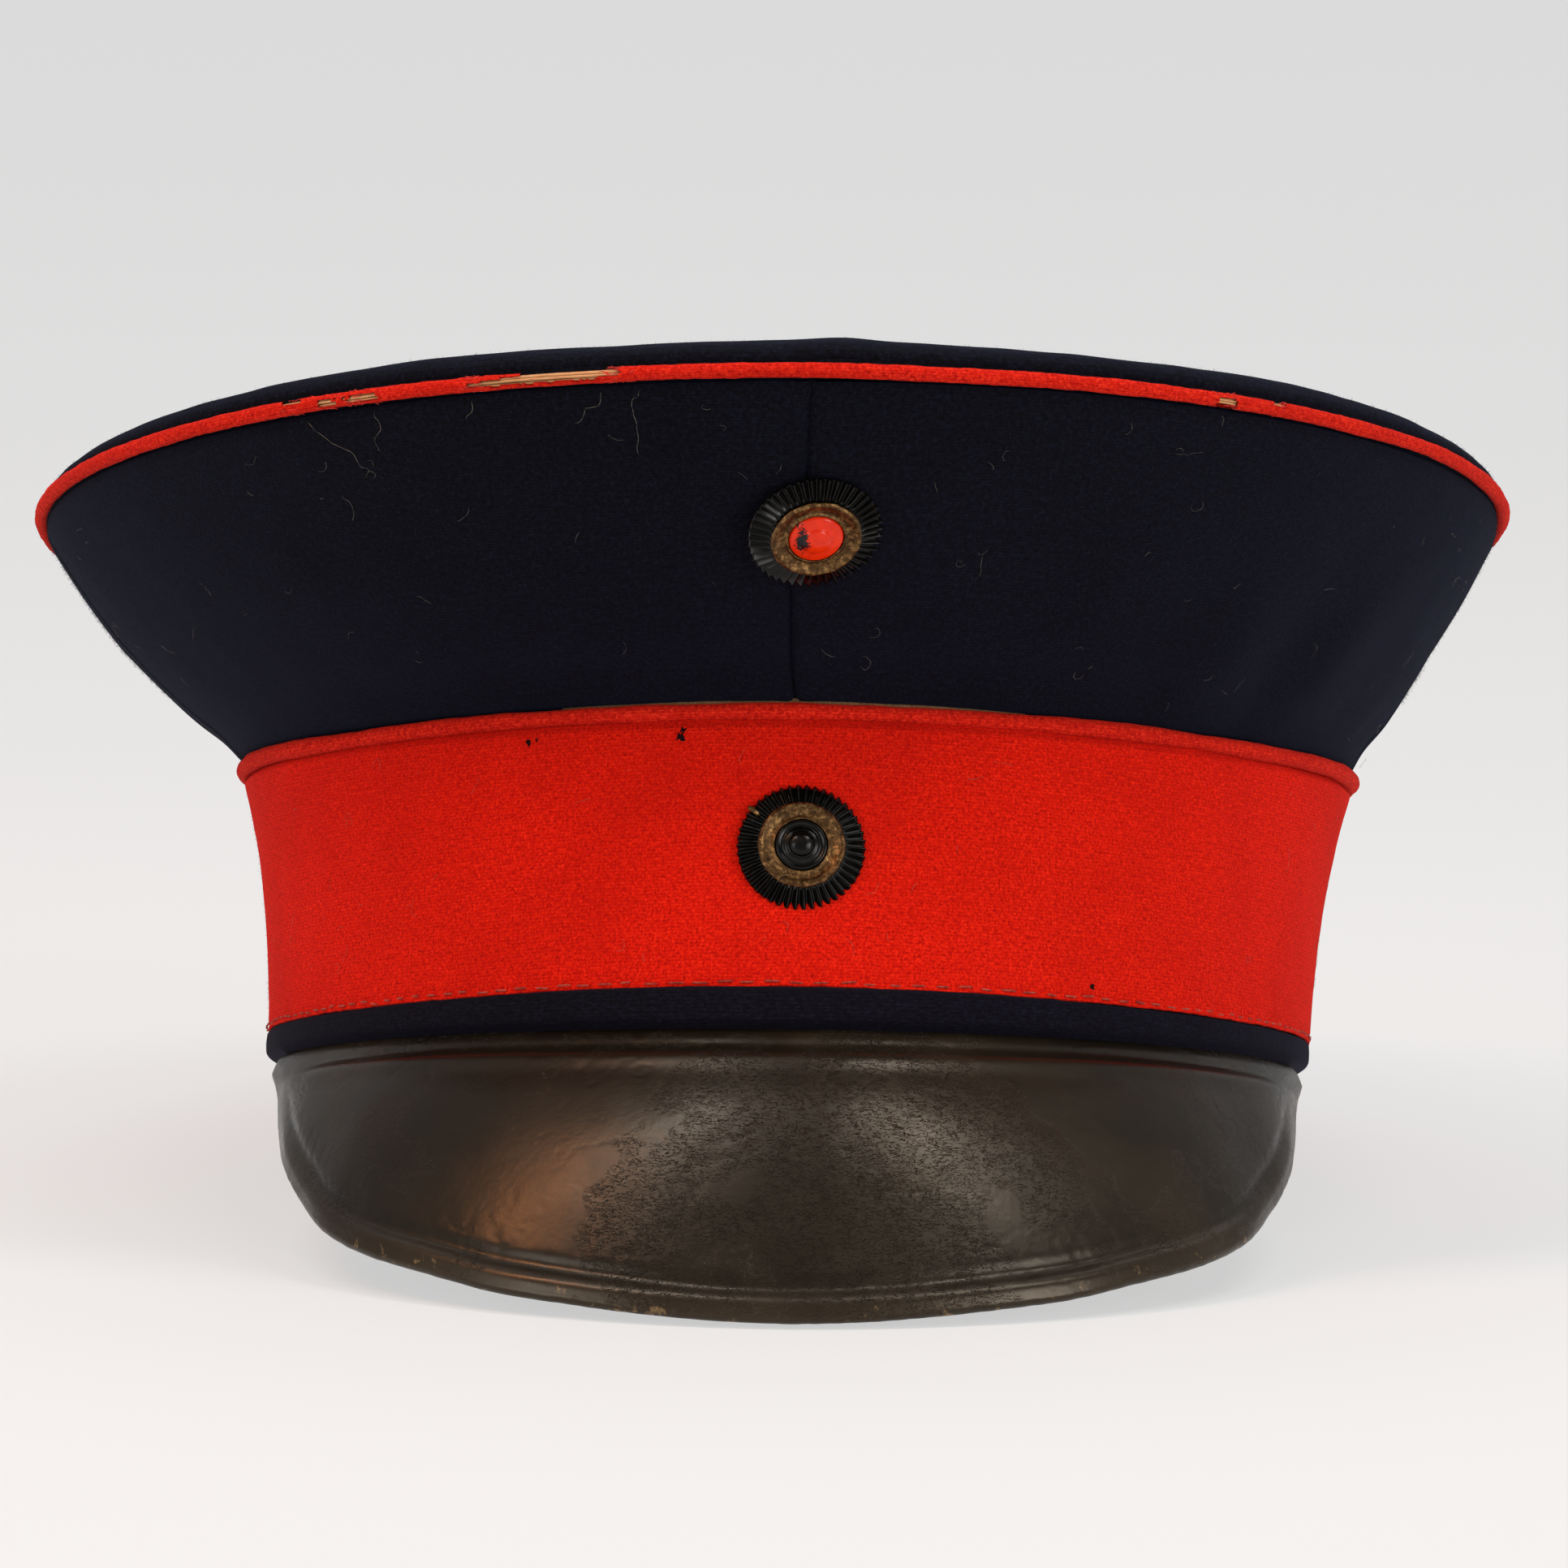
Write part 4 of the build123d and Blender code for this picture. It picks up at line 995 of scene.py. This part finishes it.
P = place(np.concatenate([pol(rl, PHS, zl), pol(rl + 0.4, PHS, zl + 0.05)[:, ::-1]], 1))
grid("side_lining_cloth", P, LINING, arc_uv(P, True, True), True, True, reps=("side_lining",))

# top lining; the celluloid sweat shield under it is drawn with the settled layers further up
rho = np.linspace(0.02, 1, n_of(110, 1.5))
PT, RH = np.meshgrid(phs, rho, indexing="ij")
rcl, _ = crown_line(phs)
kx = (RM - 13.0) / RM
x2 = rcl[:, None] * np.sin(PT) * RH * kx
y2 = CROWN_YC + (-rcl[:, None] * np.cos(PT) - CROWN_YC) * RH * kx
h2 = -3.2 + 8.2 * (1 - RH ** 2.2) + 0.35 * vn(np.stack([x2, y2, 0 * x2], -1), 18, 91, 2) + 0.25 * np.sin(PT * 60) * RH ** 6
z2 = CROWN_Z - CROWN_RISE * (y2 - CROWN_YC) / CROWN_B + h2
P = place(np.concatenate([np.stack([x2, y2, z2], -1), np.stack([x2, y2, z2 + 0.4], -1)[:, ::-1]], 1))
grid("top_lining_cloth", P, LINING, arc_uv(P, True, True), True, True, reps=("top_lining",))

# ribbon bow at the back of the sweatband
def ribbon_bow():
    rbk = float(band_r(np.array(PI), np.array(30.0))) - 6.6
    vs, fs, off = [], [], 0
    def strip(pts, wdt, th):
        nonlocal off
        p = np.asarray(pts, float)
        n = len(p)
        tg = np.gradient(p, axis=0)
        tg /= np.linalg.norm(tg, axis=1)[:, None]
        wv = np.array([0.0, 0.15, 1.0])
        nn = np.cross(tg, wv)
        nn /= np.linalg.norm(nn, axis=1)[:, None] + 1e-9
        cs = [(-wdt / 2, -th / 2), (0, -th / 2), (wdt / 2, -th / 2), (wdt / 2, th / 2), (0, th / 2), (-wdt / 2, th / 2)]
        ringp = np.stack([p + a * wv + b * nn for a, b in cs], 1)
        i, j = np.meshgrid(np.arange(n - 1), np.arange(6), indexing="ij")
        f = np.stack([(i * 6 + j).ravel(), ((i + 1) * 6 + j).ravel(), ((i + 1) * 6 + (j + 1) % 6).ravel(), (i * 6 + (j + 1) % 6).ravel()], -1)
        vs.append(ringp.reshape(-1, 3)); fs.append(f + off); off += n * 6
    for sx in (-1, 1):
        a = np.linspace(-0.15 * PI, 1.15 * PI, 30)
        strip(np.stack([sx * (6.6 - 6.4 * np.cos(a)) * 0.98, rbk - 1.2 + 0.9 * np.sin(a), 30 + 0.8 * np.sin(a * 0.7) + 0 * a], -1), 4.6, 0.35)
        b = np.linspace(0, 1, 16)
        strip(np.stack([sx * 7.5 * b, rbk - 0.9 + 0.3 * np.sin(b * 5), 30 - 6 * b], -1), 4.0, 0.3)
    a = np.linspace(0, TWO, 24)
    strip(np.stack([1.7 * np.cos(a), rbk - 1.2 + 1.0 * np.sin(a), 30 + 0 * a], -1), 4.2, 0.35)
    return mesh_obj("ribbon_bow", place(np.concatenate(vs)), np.concatenate(fs), RIBBON, None, reps=("sweatband_bow",))


ribbon_bow()

# ------------------------------------------------------------------ cockades, in their own frames
JO = {j["child"]: j for j in frame["joints"]}


def cockade_frame(body):
    j = JO[body]
    o = np.array(j["pos_m"], float) * 1000
    n = np.array(j["axis"], float)
    n /= np.linalg.norm(n)
    x_ = np.cross(np.array([0, 0, 1.0]), n)
    x_ /= np.linalg.norm(x_)
    y_ = np.cross(n, x_)
    return o, x_, y_, n


def loc(fr, Q_):
    o, x_, y_, n = fr
    Q_ = np.asarray(Q_, float)
    return (o + Q_[..., 0:1] * x_ + Q_[..., 1:2] * y_ + Q_[..., 2:3] * n) / 1000.0


def lathe_obj(name, fr, prof_, mat, body, reps, nphi=128, bumpy=0.0, seed=0, uvxy=None):
    prof_ = np.asarray(prof_, float)
    # resample finely with rounded corners
    seg = np.concatenate([[0], np.cumsum(np.hypot(*np.diff(prof_, axis=0).T))])
    s = np.linspace(0, seg[-1], max(30, int(seg[-1] / 0.12)))
    r = np.interp(s, seg, prof_[:, 0])
    z = np.interp(s, seg, prof_[:, 1])
    for _ in range(2):
        r[1:-1] = (r[:-2] + 2 * r[1:-1] + r[2:]) / 4
        z[1:-1] = (z[:-2] + 2 * z[1:-1] + z[2:]) / 4
    a = TWO * np.arange(nphi) / nphi
    A_, R_ = np.meshgrid(a, r, indexing="ij")
    Z_ = np.broadcast_to(z, R_.shape)
    q = np.stack([R_ * np.cos(A_), R_ * np.sin(A_), Z_], -1)
    if bumpy:
        q[..., 2] += bumpy * vn(q + seed * 11, 0.8, seed, 2)
        k = 1 + bumpy * 0.3 * vn(q + seed * 7, 1.6, seed + 1)
        q[..., 0] *= k
        q[..., 1] *= k
    P = loc(fr, q)
    if uvxy:
        uv = np.stack([q[..., 0] / uvxy, q[..., 1] / uvxy], -1)
        uv = np.concatenate([uv, uv[:1]], 0)
    else:
        uv = arc_uv(P, True, False)
    return grid(name, P, mat, uv, True, False, flip=False, body=body, reps=reps)


def cockade(tag, radius, gap, boss_kind, spin):
    body = f"{tag}_cockade"
    fr = cockade_frame(body)
    k = radius / 10.2
    # pleated rim
    npl, per = 46, 14
    nA = npl * per
    a = TWO * np.arange(nA) / nA
    rr_ = np.linspace(6.2 * k, 10.15 * k, 16)
    A_, R_ = np.meshgrid(a, rr_, indexing="ij")
    ph = (A_ * npl / TWO) % 1.0
    f = (R_ - rr_[0]) / (rr_[-1] - rr_[0])
    # each pleat leans over the next: steep side and shallow side
    tri = np.where(ph < 0.66, ph / 0.66, (1 - ph) / 0.34) ** 1.4
    hgt = 1.15 * (1 - f) ** 0.8 + 0.35 + gap * 0 + (0.50 + 0.42 * f) * (tri - 0.5) * (0.3 + 0.7 * sm(f * 2.5))
    hgt += 0.05 * vn(np.stack([R_ * np.cos(A_), R_ * np.sin(A_), 0 * R_], -1), 1.5, 101)
    outr = R_ * (1 + 0.030 * f * (tri - 0.5))
    topp = np.stack([outr * np.cos(A_ + spin), outr * np.sin(A_ + spin), hgt + gap], -1)
    botp = topp.copy()
    botp[..., 2] -= 0.32
    P = loc(fr, np.concatenate([topp, botp[:, ::-1]], 1))
    grid(f"{tag}_rim_pleats", P, JAPAN, arc_uv(P, True, True), True, True, body=body, reps=(f"{tag}_cockade_rim",))
    g = gap
    lathe_obj(f"{tag}_ring_bronze", fr, [(1.05, g + 0.2), (6.0 * k, g + 0.2), (6.1 * k, g + 1.3), (6.9 * k, g + 1.7), (7.0 * k, g + 2.0), (6.6 * k, g + 2.42),
              (6.2 * k, g + 2.3), (5.5 * k, g + 1.85), (4.8 * k, g + 1.65), (4.45 * k, g + 1.95), (4.25 * k, g + 1.95), (4.2 * k, g + 1.1), (1.05, g + 1.1)],
              BRONZE, body, (f"{tag}_cockade_ring",), 128, 0.05, 5)
    if boss_kind == "black":
        prof_ = [(0, g + 1.2), (4.15 * k, g + 1.2), (4.15 * k, g + 1.85), (4.0 * k, g + 2.1), (3.7 * k, g + 2.2), (3.35 * k, g + 1.95), (3.0 * k, g + 1.95),
                 (2.6 * k, g + 2.3), (2.25 * k, g + 2.4), (2.1 * k, g + 2.4), (1.95 * k, g + 2.85), (1.5 * k, g + 3.25), (0.8 * k, g + 3.5), (0.0, g + 3.56)]
        lathe_obj(f"{tag}_boss_dome", fr, prof_, JAPAN, body, (f"{tag}_cockade_boss",), 96, 0.01, 9)
    else:
        th = np.linspace(0, PI / 2, 12)
        prof_ = [(0, g + 1.2), (4.15 * k, g + 1.2), (4.15 * k, g + 1.75), (3.9 * k, g + 2.15), (3.3 * k, g + 2.35), (2.5 * k, g + 2.42)] \
            + [(2.25 * k * math.cos(q), g + 2.45 + 0.95 * math.sin(q)) for q in th]
        lathe_obj(f"{tag}_boss_dome", fr, prof_, ENAMEL, body, (f"{tag}_cockade_boss",), 96, 0.015, 9, uvxy=4.1 * k)
    return fr


frl = cockade("lower", 10.2, 0.15, "black", 0.3)
fru = cockade("upper", 10.6, 0.95, "red", 1.1)
# a tongue of bent brass showing at the lower cockade's edge
q = []
for a in np.linspace(0, 1, 8):
    q.append([(-8.2 - 2.4 * a) * math.cos(math.radians(-38)), (8.2 + 2.4 * a) * math.sin(math.radians(38)), 0.55 + 0.5 * math.sin(a * 2.6)])
tubes("lower_rim_tongue", [loc(frl, np.array(q))], 0.00045, BRONZE, 8, body="lower_cockade")

# ------------------------------------------------------------------ floor, light, camera
me = bpy.data.meshes.new("floor")
S_ = 30.0
me.from_pydata([(-S_, -S_, 0), (S_, -S_, 0), (S_, S_, 0), (-S_, S_, 0)], [], [(0, 1, 2, 3)])
floor = bpy.data.objects.new("floor", me)
bpy.context.scene.collection.objects.link(floor)
fl = plain("floor", (0.26, 0.26, 0.26), 0.9, 0.0, Specular_IOR_Level=0.0, Emission_Color=(1, 1, 1, 1), Emission_Strength=0.56)
me.materials.append(fl.m)

w = bpy.data.worlds.new("studio")
bpy.context.scene.world = w
w.use_nodes = True
bg = w.node_tree.nodes["Background"]
bg.inputs["Color"].default_value = (1.0, 1.0, 1.0, 1)
bg.inputs["Strength"].default_value = 0.34


def area(name, pos, target, size, power, col=(1, 1, 1), size_y=None):
    ld = bpy.data.lights.new(name, "AREA")
    ld.energy = power
    ld.color = col
    ld.size = size
    if size_y:
        ld.shape = "RECTANGLE"
        ld.size_y = size_y
    ob = bpy.data.objects.new(name, ld)
    bpy.context.scene.collection.objects.link(ob)
    ob.location = pos
    d = Vector(target) - Vector(pos)
    ob.rotation_euler = d.to_track_quat("-Z", "Y").to_euler()
    return ob


sun = bpy.data.lights.new("overhead", "SUN")
sun.energy = 0.75
sun.angle = math.radians(50)
so = bpy.data.objects.new("overhead", sun)
bpy.context.scene.collection.objects.link(so)
so.rotation_euler = (math.radians(-30), 0, 0)
area("softbox_left", (-1.9, -1.7, 0.7), (0, 0, 0.08), 1.0, 15.5, (1.0, 0.98, 0.96), 1.2)
area("softbox_right", (1.9, -1.7, 0.7), (0, 0, 0.08), 1.0, 28.5, (1.0, 0.98, 0.96), 1.2)
area("top_left", (-0.40, -0.36, 1.25), (-0.03, -0.12, 0.03), 0.16, 4.2, (1.0, 0.97, 0.93), 0.7)
area("top_right", (0.52, -0.36, 1.25), (0.05, -0.12, 0.03), 0.24, 5.2, (1.0, 0.97, 0.93), 0.7)
area("warm_kicker", (-0.80, -0.40, 1.10), (-0.04, -0.12, 0.03), 0.10, 4.4, (1.0, 0.42, 0.18), 0.5)

F_PX, D = 14840.0, 2000.0
e = math.radians(-4.8)
dv = np.array([0, math.cos(e), -math.sin(e)])
uv_ = np.array([0, math.sin(e), math.cos(e)])
T = 47.3 * uv_
C = T - D * dv
cw = (C @ RX.T + ROW) / 1000
right = np.array([1.0, 0, 0])
up = RX @ uv_
back = -(RX @ dv)
rho_ = math.radians(0.65)
r2v = math.cos(rho_) * right + math.sin(rho_) * up
u2v = -math.sin(rho_) * right + math.cos(rho_) * up
cam = bpy.data.cameras.new("camera")
cam.sensor_width = 36.0
cam.lens = F_PX / 1932.0 * 36.0
cam.clip_end = 100
co = bpy.data.objects.new("camera", cam)
bpy.context.scene.collection.objects.link(co)
co.matrix_world = Matrix(((r2v[0], u2v[0], back[0], cw[0]), (r2v[1], u2v[1], back[1], cw[1]), (r2v[2], u2v[2], back[2], cw[2]), (0, 0, 0, 1)))
bpy.context.scene.camera = co
bpy.context.scene.view_settings.view_transform = "Standard"
